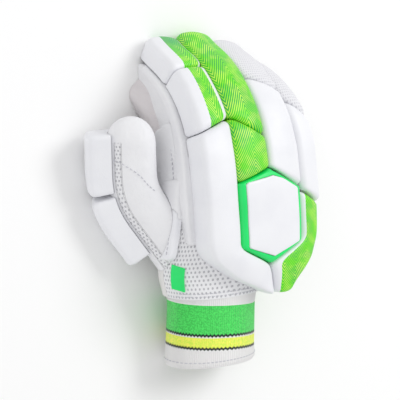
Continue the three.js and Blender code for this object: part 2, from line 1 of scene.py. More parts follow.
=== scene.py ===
"""The looks of a right-hand cricket batting glove that lies palm down on a pale floor.

Sizes are in millimetres and become metres when a mesh is made. +Z is up, +Y runs towards the finger
tips and -X towards the thumb, as in the frame.
"""

from __future__ import annotations

import logging
import math
from collections.abc import Callable, Sequence
from dataclasses import dataclass, field, replace
from enum import Enum
from functools import cached_property

import bmesh
import bpy
import numpy as np
from mathutils import Matrix, Vector

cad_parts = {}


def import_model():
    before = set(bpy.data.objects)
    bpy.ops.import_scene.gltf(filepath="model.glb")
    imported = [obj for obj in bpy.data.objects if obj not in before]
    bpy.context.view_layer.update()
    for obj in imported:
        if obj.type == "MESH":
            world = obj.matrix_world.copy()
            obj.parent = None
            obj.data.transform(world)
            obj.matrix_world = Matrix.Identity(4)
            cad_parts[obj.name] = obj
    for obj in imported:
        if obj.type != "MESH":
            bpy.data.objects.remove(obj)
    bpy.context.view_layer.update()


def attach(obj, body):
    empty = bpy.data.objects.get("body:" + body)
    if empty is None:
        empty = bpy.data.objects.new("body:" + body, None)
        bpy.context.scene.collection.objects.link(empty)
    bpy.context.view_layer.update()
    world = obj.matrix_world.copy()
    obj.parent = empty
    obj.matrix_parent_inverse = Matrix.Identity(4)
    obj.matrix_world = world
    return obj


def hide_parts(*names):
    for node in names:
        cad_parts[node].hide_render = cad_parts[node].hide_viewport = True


Array = np.ndarray
Colour = tuple[float, float, float]

METRE = 0.001
PATTERN_UNIT = 100.0
BODY = "root"

log = logging.getLogger("batting_glove")


def mixed(low: Array | float, high: Array | float, share: Array | float) -> Array | float:
    """The value at a share of the way from low to high."""
    return low + (high - low) * share


def smooth(value: Array | float, low: float, high: float) -> Array:
    """Eases from 0 below low to 1 above high."""
    t = np.clip((np.asarray(value, float) - low) / (high - low), 0, 1)
    return t * t * (3 - 2 * t)


def unit(vectors: Array) -> Array:
    """The same directions with length 1."""
    return vectors / np.linalg.norm(vectors, axis=-1, keepdims=True)


def on_line(at: Array | float, key: Array, points: Array) -> Array:
    """The points between the samples of a line."""
    return np.stack([np.interp(at, key, points[:, i]) for i in range(3)], -1)


def eased(values: Array, step: float, reach: float) -> Array:
    """Rounds off the bends in samples along the first axis, and keeps straight ends straight.

    Args:
        values: The samples, one every step.
        step: The distance between samples.
        reach: How far the rounding spreads.

    Returns:
        As many samples, rounded.
    """
    half = max(1, int(3 * reach / step))
    weights = np.exp(-0.5 * (np.arange(-half, half + 1) * step / reach) ** 2)
    weights /= weights.sum()
    lead = np.arange(half, 0, -1).reshape((-1,) + (1,) * (values.ndim - 1))
    head = values[:1] + (values[:1] - values[1:2]) * lead
    tail = values[-1:] + (values[-1:] - values[-2:-1]) * lead[::-1]
    padded = np.concatenate([head, values, tail])
    return sum(weight * padded[i : i + len(values)] for i, weight in enumerate(weights))


def frame_from(lean: Array, climb: Array) -> tuple[Array, Array, Array]:
    """The along, side and up directions of a line that leans to the thumb and climbs.

    Args:
        lean: Degrees that the line leans towards the thumb.
        climb: Degrees that it climbs from the table.

    Returns:
        The three directions, each with a row for every angle.
    """
    lean, climb = np.broadcast_arrays(np.radians(lean), np.radians(climb))
    level = np.cos(climb)
    along = np.stack([-np.sin(lean) * level, np.cos(lean) * level, np.sin(climb)], -1)
    side = np.stack([np.cos(lean), np.sin(lean), np.zeros_like(lean)], -1)
    return along, side, np.cross(side, along)


@dataclass(frozen=True)
class Sewing:
    """Sizes that the whole glove shares."""

    leather_wall: float = 2.4
    cuff_wall: float = 3.0
    seam_gap: float = 0.35
    pressed_flat: float = 1.2
    sides: int = 96
    step: float = 2.0


SEWING = Sewing()


@dataclass(frozen=True)
class LimbGrid:
    """How a bent limb is sampled, and what every one of them has in common."""

    steps: int = 120
    run_in: float = 72.0
    run_on: float = 1.36
    droop_share: float = 0.2
    roundness: float = 2.4


LIMB_GRID = LimbGrid()
WIDE = np.arange(-64, 65, 2.0)
NARROW = np.arange(-40, 41, 4.0)


@dataclass(frozen=True)
class Arch:
    """How the back curves down across the knuckles, in columns one finger wide."""

    pitch: float = 32.3
    roll: float = 3.2
    turn: float = 5.5
    curl: float = 2.25
    depth: float = 16.0

    def drop_at(self, across: Array) -> Array:
        """How much lower the back lies at a distance across from the middle line."""
        column = across / self.pitch
        turned = self.roll * column + self.turn * column**2 / 2 + self.curl * column**3 / 3
        return -self.pitch * np.radians(turned)

    def roll_at(self, across: Array) -> Array:
        """The roll of the back there, in degrees."""
        column = across / self.pitch
        return self.roll + self.turn * column + self.curl * column**2

    def bent(self, across: Array, above: Array, drop: Array, roll: Array) -> tuple[Array, Array]:
        """Where a place across and above a flat section goes once the section is arched."""
        depth = self.depth - above
        angle = np.radians(roll)
        return across - depth * np.sin(angle), above + drop + depth * (1 - np.cos(angle))


ARCH = Arch()
Bow = Callable[[Array, Array], tuple[Array, Array]]


@dataclass
class Limb:
    """Sections sampled along a line, each with its centre, its frame and its half sizes."""

    s: Array
    centre: Array
    side: Array
    up: Array
    half_width: Array
    half_height: Array
    roundness: Array
    bow: Bow | None = None

    def sampled(self, name: str, s: Array) -> Array:
        """The named column at the places s.

        Args:
            name: The column's field.
            s: Places along the limb.

        Returns:
            Its values there.
        """
        values = getattr(self, name)
        if values.ndim == 1:
            return np.interp(s, self.s, values)
        return on_line(s, self.s, values)

    def skin_height(self, s: Array) -> Array:
        """The height of the skin above the centre at the places s."""
        return self.sampled("half_height", s)

    def place(self, s: Array, across: Array, above: Array) -> Array:
        """The point at s, that far across the section and above its centre.

        Args:
            s: Places along the limb.
            across: Distances towards the little finger.
            above: Heights over the centre.

        Returns:
            The points.
        """
        s, across, above = np.broadcast_arrays(
            np.asarray(s, float), np.asarray(across, float), np.asarray(above, float)
        )
        if self.bow is not None:
            drop, roll = self.bow(s, across)
            across, above = ARCH.bent(across, above, drop, roll)
        centre, side, up = (self.sampled(name, s) for name in ("centre", "side", "up"))
        return centre + side * across[..., None] + up * above[..., None]

    def eased(self, reach: float) -> Limb:
        """The same limb with its bends rounded off.

        Args:
            reach: How far the rounding spreads.

        Returns:
            A new limb.
        """
        step = self.s[1] - self.s[0]
        columns = {
            name: eased(getattr(self, name), step, reach)
            for name in ("centre", "side", "up", "half_width", "half_height", "roundness")
        }
        columns["side"], columns["up"] = unit(columns["side"]), unit(columns["up"])
        return Limb(s=self.s, bow=self.bow, **columns)

    def girth_point(
        self, s: Array, angle: Array, grown: float = 0, scale: Array | float = 1
    ) -> Array:
        """The point on the skin at a girth angle, from the little-finger side over the top.

        Args:
            s: Places along the limb.
            angle: Girth angles in radians.
            grown: How far outside the skin.
            scale: Shares of the section's size.

        Returns:
            The points.
        """
        power = 2 / self.sampled("roundness", s)
        cos, sin = np.cos(angle), np.sin(angle)
        across = (self.sampled("half_width", s) + grown) * np.sign(cos) * np.abs(cos) ** power
        above = (self.sampled("half_height", s) + grown) * np.sign(sin) * np.abs(sin) ** power
        return self.place(s, across * scale, above * scale)

    def outward(self, s: Array, angle: Array) -> Array:
        """The direction straight out of the skin at a girth angle.

        Args:
            s: Places along the limb.
            angle: Girth angles in radians.

        Returns:
            Unit directions.
        """
        nudge = 1e-3
        ahead = self.girth_point(s + nudge, angle) - self.girth_point(s - nudge, angle)
        round_it = self.girth_point(s, angle + nudge) - self.girth_point(s, angle - nudge)
        return unit(np.cross(ahead, round_it))


@dataclass
class Blanket:
    """A curved ground that padding is sewn to: skin points and outward directions on a grid."""

    s: Array
    across: Array
    skin: Array
    out: Array
    depth: Array

    @classmethod
    def over(
        cls, s: Array, across: Array, place: Callable, height: Callable, reach: float
    ) -> Blanket:
        """Samples a ground from a place function and the height of its skin, with soft bends.

        Args:
            s: Places along the ground.
            across: Distances across it.
            place: The point at a place, across and above.
            height: The skin's height at a place.
            reach: How far the rounding spreads.

        Returns:
            The ground.
        """
        grid_s, grid_x = np.meshgrid(s, across, indexing="ij")
        depth = height(s)
        lift = np.repeat(depth[:, None], len(across), 1)
        skin = place(grid_s, grid_x, lift)
        out = place(grid_s, grid_x, lift + 1) - skin
        step = s[1] - s[0]
        return cls(s, across, eased(skin, step, reach), unit(eased(out, step, reach)), depth)

    def place(self, s: Array, across: Array, above: Array) -> Array:
        """The point that far above the skin at s and across.

        Args:
            s: Places along the ground.
            across: Distances across it.
            above: Heights over the skin.

        Returns:
            The points.
        """

        def steps(at: Array, grid: Array) -> Array:
            """How many steps of the grid lie before a place."""
            return np.clip((at - grid[0]) / (grid[1] - grid[0]), 0, len(grid) - 1.001)

        row, column = steps(s, self.s), steps(across, self.across)
        i, j = row.astype(int), column.astype(int)
        a, b = (row - i)[..., None], (column - j)[..., None]

        def at(grid: Array) -> Array:
            """The grid's value between its samples."""
            near = grid[i, j] * (1 - b) + grid[i, j + 1] * b
            far = grid[i + 1, j] * (1 - b) + grid[i + 1, j + 1] * b
            return near * (1 - a) + far * a

        return at(self.skin) + unit(at(self.out)) * above[..., None]


@dataclass(frozen=True)
class Cuff:
    """The towelling tube at the wrist."""

    length: float = 56.0
    half_width: float = 40.2
    half_height: float = 24.5
    pressed_flat: float = 2.0
    overhang: float = 6.3
    lean: float = 4.5
    climb: float = 8.5
    roundness: float = 2.2
    along: tuple[float, ...] = (0, 0.16, 0.84, 1)
    sizes: tuple[float, ...] = (1.03, 1, 0.98, 1.01)
    rim: float = 1.4

    def limb(self) -> Limb:
        """The cuff's sections, from its mouth."""
        s = np.arange(-12, self.length + 12, 1.0)
        size = np.interp(s / self.length, self.along, self.sizes)
        along, side, up = frame_from(np.full_like(s, self.lean), self.climb)
        mouth = np.array([0, -self.overhang, self.half_height * self.sizes[0] - self.pressed_flat])
        return Limb(
            s=s,
            centre=mouth + along * s[:, None],
            side=side,
            up=up,
            half_width=self.half_width * size,
            half_height=self.half_height * size,
            roundness=np.full_like(s, self.roundness),
        ).eased(3)

    def wrist_centre(self) -> Array:
        """Where the hand's line starts."""
        return self.limb().sampled("centre", np.array(self.length + SEWING.seam_gap))


@dataclass(frozen=True)
class Hand:
    """The hand from the wrist seam to the knuckle line."""

    length: float = 114.0
    wrist_half_width: float = 43.0
    wrist_half_height: float = 25.5
    knuckle_shift: float = 14.5
    knuckle_rise: float = 38.7
    knuckle_half_height: float = 25.0
    knuckle_margin: float = 1.5
    knuckle_lean: float = 6.5
    wrist_roundness: float = 2.2
    knuckle_roundness: float = 3.4
    softness: float = 5.0
    along: tuple[float, ...] = (0, 0.08, 0.21, 0.41, 0.62, 0.83, 1)
    width: tuple[float, ...] = (0, 0.38, 0.76, 0.98, 1.02, 1.01, 1)
    height: tuple[float, ...] = (0, 0.1, 0.25, 0.5, 0.9, 1, 1)
    rise: tuple[float, ...] = (0, 0.16, 0.42, 0.8, 1, 1.06, 1)
    shift: tuple[float, ...] = (0, 0.14, 0.4, 0.78, 0.98, 1.06, 1)
    lean: tuple[float, ...] = (0, 0.1, 0.3, 0.6, 0.9, 1, 1)
    climb: tuple[float, ...] = (1, 0.9, 0.7, 0.3, 0, -0.15, -0.4)
    square: tuple[float, ...] = (0, 0.1, 0.3, 0.7, 1, 1, 1)
    arch: tuple[float, ...] = (0.2, 0.3, 0.5, 0.8, 1, 1, 1)

    def column(self, name: str, s: Array) -> Array:
        """A named column of the table at the places s."""
        return np.interp(s / self.length, self.along, getattr(self, name))

    def off_line(self, s: Array, cuff: Cuff) -> Array:
        """How far the hand's centre lies beside the straight columns of the padding."""
        offset = self.centre(s, cuff) - self.knuckle_centre(cuff)
        return offset @ frame_from(self.knuckle_lean, 0.0)[1]

    def knuckle_centre(self, cuff: Cuff) -> Array:
        """The middle of the knuckle line."""
        ahead = cuff.wrist_centre()[1] + self.length
        return np.array([self.knuckle_shift, ahead, self.knuckle_rise])

    def centre(self, s: Array, cuff: Cuff) -> Array:
        """The line through the hand's sections.

        Args:
            s: Places from the wrist.
            cuff: The cuff that the hand starts from.

        Returns:
            The points of the line.
        """
        wrist, knuckle = cuff.wrist_centre(), self.knuckle_centre(cuff)
        return np.stack(
            [
                mixed(wrist[0], self.knuckle_shift, self.column("shift", s)),
                mixed(wrist[1], knuckle[1], s / self.length),
                mixed(wrist[2], self.knuckle_rise, self.column("rise", s)),
            ],
            -1,
        )

    def sections(self, cuff: Cuff, centre: Array, s: Array, bow: Bow) -> Limb:
        """The hand's sections on a line of centres.

        Args:
            cuff: The cuff that the hand starts from.
            centre: The line of centres.
            s: Places from the wrist.
            bow: The arch at those places.

        Returns:
            The hand as a limb.
        """
        lean = mixed(cuff.lean, self.knuckle_lean, self.column("lean", s))
        _, side, up = frame_from(lean, cuff.climb * self.column("climb", s))
        knuckle = 1.5 * ARCH.pitch + FINGER_SIZES.half_width + self.knuckle_margin
        height = self.column("height", s)
        return Limb(
            s=s,
            centre=centre,
            side=side,
            up=up,
            half_width=mixed(self.wrist_half_width, knuckle, self.column("width", s)),
            half_height=mixed(self.wrist_half_height, self.knuckle_half_height, height),
            roundness=mixed(self.wrist_roundness, self.knuckle_roundness, self.column("square", s)),
            bow=bow,
        )

    def limb(self, cuff: Cuff) -> Limb:
        """The hand's own sections, from the wrist.

        Args:
            cuff: The cuff that the hand starts from.

        Returns:
            The hand as a limb.
        """
        s = np.arange(-12, self.length + 12, 1.0)
        off, fade = self.off_line(s, cuff), self.column("arch", s)

        def bow(places: Array, across: Array) -> tuple[Array, Array]:
            """The arch at the hand's own middle."""
            at = across + np.interp(places, s, off)
            faded = np.interp(places, s, fade)
            return ARCH.drop_at(at) * faded, ARCH.roll_at(at) * faded

        return self.sections(cuff, self.centre(s, cuff), s, bow).eased(self.softness)

    def column_limb(self, cuff: Cuff, start: float) -> Limb:
        """The sections as a straight column of padding sees them, with s from the knuckles.

        Args:
            cuff: The cuff that the hand starts from.
            start: How far across the column lies.

        Returns:
            The hand as the column's ground.
        """
        s = np.arange(-self.length - 16, 3, 1.0)
        back = s + self.length
        side = frame_from(mixed(cuff.lean, self.knuckle_lean, self.column("lean", back)), 0.0)[1]
        centre = self.centre(back, cuff) + side * (start - self.off_line(back, cuff))[:, None]
        fade = self.column("arch", back)

        def bow(places: Array, across: Array) -> tuple[Array, Array]:
            """The arch at the column's own middle."""
            faded = np.interp(places, s, fade)
            return ARCH.drop_at(across + start) * faded, ARCH.roll_at(across + start) * faded

        limb = self.sections(cuff, centre, back, bow)
        limb.s = s
        return limb


@dataclass(frozen=True)
class Bend:
    """A bend of a limb: where it is, how far it turns and over how much of the length."""

    at: float
    turn: float
    reach: float


def bent_limb(
    start: Array,
    directions: tuple[Array, Array, Array],
    length: float,
    half_sizes: tuple[float, float],
    taper: float,
    bends: Sequence[Bend],
    droop: float,
    roll: float = 0.0,
) -> Limb:
    """A limb that starts at a frame and bends towards its palm side.

    Args:
        start: The first centre.
        directions: The along, side and up directions there.
        length: How long the limb is.
        half_sizes: Half its width and half its height at the start.
        taper: The share of the height that is left at the end.
        bends: Its bends.
        droop: Degrees that it turns down soon after its start.
        roll: Degrees that its sections are turned about its own line.

    Returns:
        The limb, which runs on straight past both ends.
    """
    along, side, up = directions
    step = length / LIMB_GRID.steps
    s = np.arange(-LIMB_GRID.run_in / step, length * LIMB_GRID.run_on / step) * step
    share = np.clip(s / length, 0, 1)
    turned = droop * smooth(share, 0, LIMB_GRID.droop_share)
    for bend in bends:
        turned = turned + bend.turn * smooth(share, bend.at - bend.reach, bend.at + bend.reach)
    angle = np.radians(turned)[:, None]
    forward = along * np.cos(angle) - up * np.sin(angle)
    upward = up * np.cos(angle) + along * np.sin(angle)
    path = np.concatenate([np.zeros((1, 3)), np.cumsum(forward[:-1] * step, axis=0)])
    origin = on_line(0, s, path)
    twist = math.radians(roll)
    size = mixed(1, taper, share)
    return Limb(
        s=s,
        centre=start + path - origin,
        side=side * math.cos(twist) - upward * math.sin(twist),
        up=upward * math.cos(twist) + side * math.sin(twist),
        half_width=half_sizes[0] * mixed(1, size, 0.5),
        half_height=half_sizes[1] * size,
        roundness=np.full_like(s, LIMB_GRID.roundness),
    )


def tube_rings(
    limb: Limb, places: Array, sides: int, grown: float = 0, scale: Array | None = None
) -> Array:
    """Rings of skin points at places along a limb.

    Args:
        limb: The limb.
        places: Places along it.
        sides: Points in a ring.
        grown: How far outside the skin.
        scale: A share of the size for each ring.

    Returns:
        The points, ring by ring.
    """
    angle = (np.arange(sides) + 0.5) / sides * 2 * math.pi
    grid_s, grid_a = np.meshgrid(places, angle, indexing="ij")
    size = 1.0 if scale is None else np.repeat(np.asarray(scale)[:, None], sides, 1)
    return limb.girth_point(grid_s, grid_a, grown, size)


@dataclass(frozen=True)
class StallShape:
    """Where a stall's tip starts, as a share of its length."""

    shoulder: float = 0.84
    tip_rings: int = 9

    def rings(self, limb: Limb, length: float, grown: float, start: float) -> tuple[Array, Array]:
        """The rings of a tube with a rounded tip, and their places along the limb.

        Args:
            limb: The finger.
            length: Its length.
            grown: How far outside the skin.
            start: Where the tube begins.

        Returns:
            The points ring by ring, and the places.
        """
        straight = np.linspace(start, self.shoulder * length, int(length / SEWING.step))
        angles = np.radians(np.linspace(0, 88, self.tip_rings + 1)[1:])
        reach = (1 - self.shoulder) * length + grown
        places = np.concatenate([straight, self.shoulder * length + reach * np.sin(angles)])
        scale = np.concatenate([np.ones_like(straight), np.cos(angles)])
        return tube_rings(limb, places, SEWING.sides, grown, scale), places


STALL_SHAPE = StallShape()


def settled(lowest: Callable[[float], float], low: float, high: float) -> float:
    """The angle at which a form that turns with it is pressed flat on the table.

    Args:
        lowest: The height of the form's lowest point at an angle.
        low: An angle at which it is too high.
        high: An angle at which it is too low.

    Returns:
        The angle in between.
    """
    for _ in range(16):
        middle = (low + high) / 2
        if lowest(middle) > -SEWING.pressed_flat:
            low = middle
        else:
            high = middle
    return (low + high) / 2


@dataclass(frozen=True)
class FingerSizes:
    """Sizes that the four fingers share."""

    length: float = 80.0
    half_width: float = 13.4
    half_height: float = 22.0
    taper: float = 0.7
    sink: float = 1.0
    climb: float = -4.0
    bends: tuple[Bend, ...] = (Bend(0.27, 25, 0.3), Bend(0.68, 20, 0.26))
    softness: float = 4.0


FINGER_SIZES = FingerSizes()


@dataclass
class Finger:
    """One finger: the column that it stands in, its share of the longest length and its lean."""

    name: str
    column: float
    reach: float
    lean: float
    limb: Limb = field(init=False)
    ray: Blanket = field(init=False)

    @property
    def length(self) -> float:
        """The finger's own length."""
        return FINGER_SIZES.length * self.reach

    @property
    def start(self) -> float:
        """How far its column lies from the hand's middle."""
        return self.column * ARCH.pitch

    def lay(self, hand: Hand, cuff: Cuff) -> None:
        """Lays the finger on the table and works out the ground of its padding.

        Args:
            hand: The hand that the finger grows from.
            cuff: The cuff behind it.
        """
        back = hand.column_limb(cuff, self.start)
        sizes = FINGER_SIZES
        roll = float(ARCH.roll_at(np.array(self.start)))
        lift = hand.knuckle_half_height - sizes.half_height - sizes.sink
        root = back.place(0, 0, lift)

        def make(droop: float) -> Limb:
            """The finger at an angle of droop."""
            return bent_limb(
                root,
                frame_from(self.lean, sizes.climb),
                self.length,
                (sizes.half_width, sizes.half_height),
                sizes.taper,
                sizes.bends,
                droop,
                roll,
            )

        def lowest(droop: float) -> float:
            """The lowest height of the stall."""
            return STALL_SHAPE.rings(make(droop), self.length, 0, 0)[0][..., 2].min()

        self.limb = make(settled(lowest, -30, 60))
        self.ray = self.blanket(back)

    def blanket(self, back: Limb) -> Blanket:
        """The ground from the wrist over the knuckle to past the tip.

        Args:
            back: The hand behind the knuckle.

        Returns:
            The ground.
        """
        here_drop = float(ARCH.drop_at(np.array(self.start)))
        here_roll = float(ARCH.roll_at(np.array(self.start)))

        def finger_bow(_: Array, across: Array) -> tuple[Array, Array]:
            """The arch as the rolled finger sees it."""
            flat = here_drop - across * math.sin(math.radians(here_roll))
            there = self.start + across
            return ARCH.drop_at(there) - flat, ARCH.roll_at(there) - here_roll

        front = Limb(**{**vars(self.limb), "bow": finger_bow})
        s = np.arange(back.s[0], self.length * 1.34, 1.0)
        behind = s < 0

        def place(grid_s: Array, grid_x: Array, lift: Array) -> Array:
            """The point on the hand behind the knuckle and on the finger in front of it."""
            return np.concatenate(
                [
                    back.place(grid_s[behind], grid_x[behind], lift[behind]),
                    front.place(grid_s[~behind], grid_x[~behind], lift[~behind]),
                ]
            )

        def height(places: Array) -> Array:
            """The height of the skin above the centre."""
            return np.where(places < 0, back.skin_height(places), front.skin_height(places))

        return Blanket.over(s, WIDE, place, height, FINGER_SIZES.softness)


@dataclass(frozen=True)
class Thumb:
    """The thumb, which leaves the hand's side with its back turned outwards and down."""

    length: float = 126.0
    half_width: float = 16.0
    half_height: float = 20.0
    taper: float = 0.94
    root_shift: float = -37.0
    root_beyond: float = 26.4
    root_rise: float = 35.2
    lean: float = 39.0
    roll: float = -123.0
    bends: tuple[Bend, ...] = (Bend(0.52, 34, 0.17),)

    def limb(self, cuff: Cuff, climb: float) -> Limb:
        """The thumb at an angle of climb.

        Args:
            cuff: The cuff that the hand starts from.
            climb: Degrees that the thumb climbs.

        Returns:
            The thumb as a limb.
        """
        along, side, up = frame_from(self.lean, climb)
        angle = math.radians(self.roll)
        turned_side = side * math.cos(angle) - up * math.sin(angle)
        turned_up = up * math.cos(angle) + side * math.sin(angle)
        ahead = cuff.wrist_centre()[1] + self.root_beyond
        root = np.array([self.root_shift, ahead, self.root_rise])
        return bent_limb(
            root,
            (along, turned_side, turned_up),
            self.length,
            (self.half_width, self.half_height),
            self.taper,
            self.bends,
            0.0,
        )


@dataclass(frozen=True)
class PadShape:
    """The cross-section of a padded piece."""

    foot: float
    thickness: float
    edge: float
    crown: float
    corner: float = 3.0
    ease: float = 2.5
    far_corner: float | None = None
    far_edge: float | None = None
    swell: float = 0.35


@dataclass(frozen=True)
class PadRow:
    """A place along the ground with the pad's edges there and how far its right edge runs ahead."""

    s: float
    left: float
    right: float
    skew: float = 0.0
    thickness: float | None = None


@dataclass(frozen=True)
class PadGrid:
    """How finely a padded piece is sampled, and the limits on its corners, edges and height."""

    lead: tuple[float, ...] = (0, 0.04, 0.12, 0.24, 0.4, 0.6, 0.8)
    step: float = 1.4
    table_step: float = 0.5
    margin: float = 12.0
    turn: int = 8
    top: int = 17
    walls: int = 6
    base: int = 14
    most_inset: float = 0.45
    least_edges: float = 2.2
    least_height: float = 0.6


PAD_GRID = PadGrid()


@dataclass
class Rings:
    """A form's rings, with a pattern place in millimetres and a share place for every point."""

    points: Array
    pattern: Array
    share: Array


def rounding(distance: Array, radius: float) -> Array:
    """How much a rounded edge has fallen at a distance in from it."""
    inside = np.clip(radius - distance, 0, radius)
    return radius - np.sqrt(np.maximum(radius**2 - inside**2, 0))


def pad_rings(
    ground: Blanket, rows: Sequence[PadRow], shape: PadShape, grown: float = 0.0
) -> Rings:
    """The rings of a padded piece with rounded edges and a crowned top.

    Args:
        ground: What it is sewn to.
        rows: Its table of places and edges.
        shape: Its cross-section.
        grown: How much larger it is made on every side.

    Returns:
        The rings from its first end to its last.
    """
    key = np.array([row.s for row in rows])
    first, last = key[0] - grown, key[-1] + grown
    far_edge = shape.edge if shape.far_edge is None else shape.far_edge
    far_corner = shape.corner if shape.far_corner is None else shape.far_corner
    grid = PAD_GRID
    lead = np.array(grid.lead)
    inner = np.arange(first + shape.edge, last - far_edge, grid.step)
    s = np.concatenate([first + shape.edge * lead, inner, (last - far_edge * lead)[::-1]])
    fine = np.arange(first - grid.margin, last + grid.margin, grid.table_step)

    def column(values: list[float]) -> Array:
        """A column of the table at every ring, its bends rounded off."""
        whole = np.interp(fine, key, values)
        soft = eased(whole, grid.table_step, shape.ease) if shape.ease else whole
        return np.interp(s, fine, soft)

    thick = [shape.thickness if row.thickness is None else row.thickness for row in rows]
    left = column([row.left for row in rows]) - grown
    right = column([row.right for row in rows]) + grown
    thickness = column(thick) + grown
    skew = column([row.skew for row in rows])
    inset = rounding(s - first, shape.corner) + rounding(last - s, far_corner)
    inset = np.minimum(inset, (right - left) * grid.most_inset)
    sunk = rounding(s - first, shape.edge) + rounding(last - s, far_edge)
    left, right = left + inset, right - inset
    width = right - left
    edge = np.minimum(shape.edge, width / grid.least_edges)
    turn = np.linspace(0, math.pi / 2, grid.turn)
    mid = np.linspace(0, 1, grid.top)[1:-1]
    arc_in, arc_up = 1 - np.cos(turn), np.sin(turn) - 1
    across = np.concatenate(
        [
            left[:, None] + edge[:, None] * arc_in,
            (left + edge)[:, None] + (width - 2 * edge)[:, None] * mid,
            right[:, None] - edge[:, None] * arc_in[::-1],
        ],
        1,
    )
    fall = np.concatenate([arc_up, np.zeros(len(mid)), arc_up[::-1]])
    middle = (left + right)[:, None] / 2
    crown = shape.crown * (1 - (2 * (across - middle) / width[:, None]) ** 2)
    foot = ground_depth(ground, s) * (shape.foot - 1) - grown
    waves = np.sin(across / 7.3 + s[:, None] / 11.9) + np.sin(s[:, None] / 6.1 - across / 13.7)
    top = thickness[:, None] + fall * edge[:, None] + crown - sunk[:, None]
    top = np.maximum(top + shape.swell * waves * 0.5, foot[:, None] + grid.least_height)
    walls = np.linspace(0, 1, grid.walls)[:-1]
    rise_left = foot[:, None] + (top[:, :1] - foot[:, None]) * walls
    rise_right = foot[:, None] + (top[:, -1:] - foot[:, None]) * walls[::-1]
    base = np.linspace(0, 1, grid.base)[1:-1]
    x = np.concatenate(
        [
            np.repeat(left[:, None], len(walls), 1),
            across,
            np.repeat(right[:, None], len(walls), 1),
            right[:, None] - width[:, None] * base,
        ],
        1,
    )
    z = np.concatenate([rise_left, top, rise_right, np.repeat(foot[:, None], len(base), 1)], 1)
    share_x = np.clip((x - middle) / width[:, None], -0.5, 0.5)
    places = s[:, None] + skew[:, None] * share_x
    share_s = np.repeat(((s - first) / (last - first))[:, None], x.shape[1], 1)
    run = np.cumsum(np.hypot(np.diff(x, prepend=x[:, :1]), np.diff(z, prepend=z[:, :1])), axis=1)
    crest = len(walls) + len(turn) + len(mid) // 2
    cloth = run - run[:, crest : crest + 1] + x[:, crest : crest + 1]
    return Rings(
        ground.place(places, x, z),
        np.stack([cloth, places], -1),
        np.stack([share_x + 0.5, share_s], -1),
    )


def ground_depth(ground: Blanket, s: Array) -> Array:
    """How far the centre of a limb lies under the ground's skin."""
    return np.interp(s, ground.s, ground.depth)


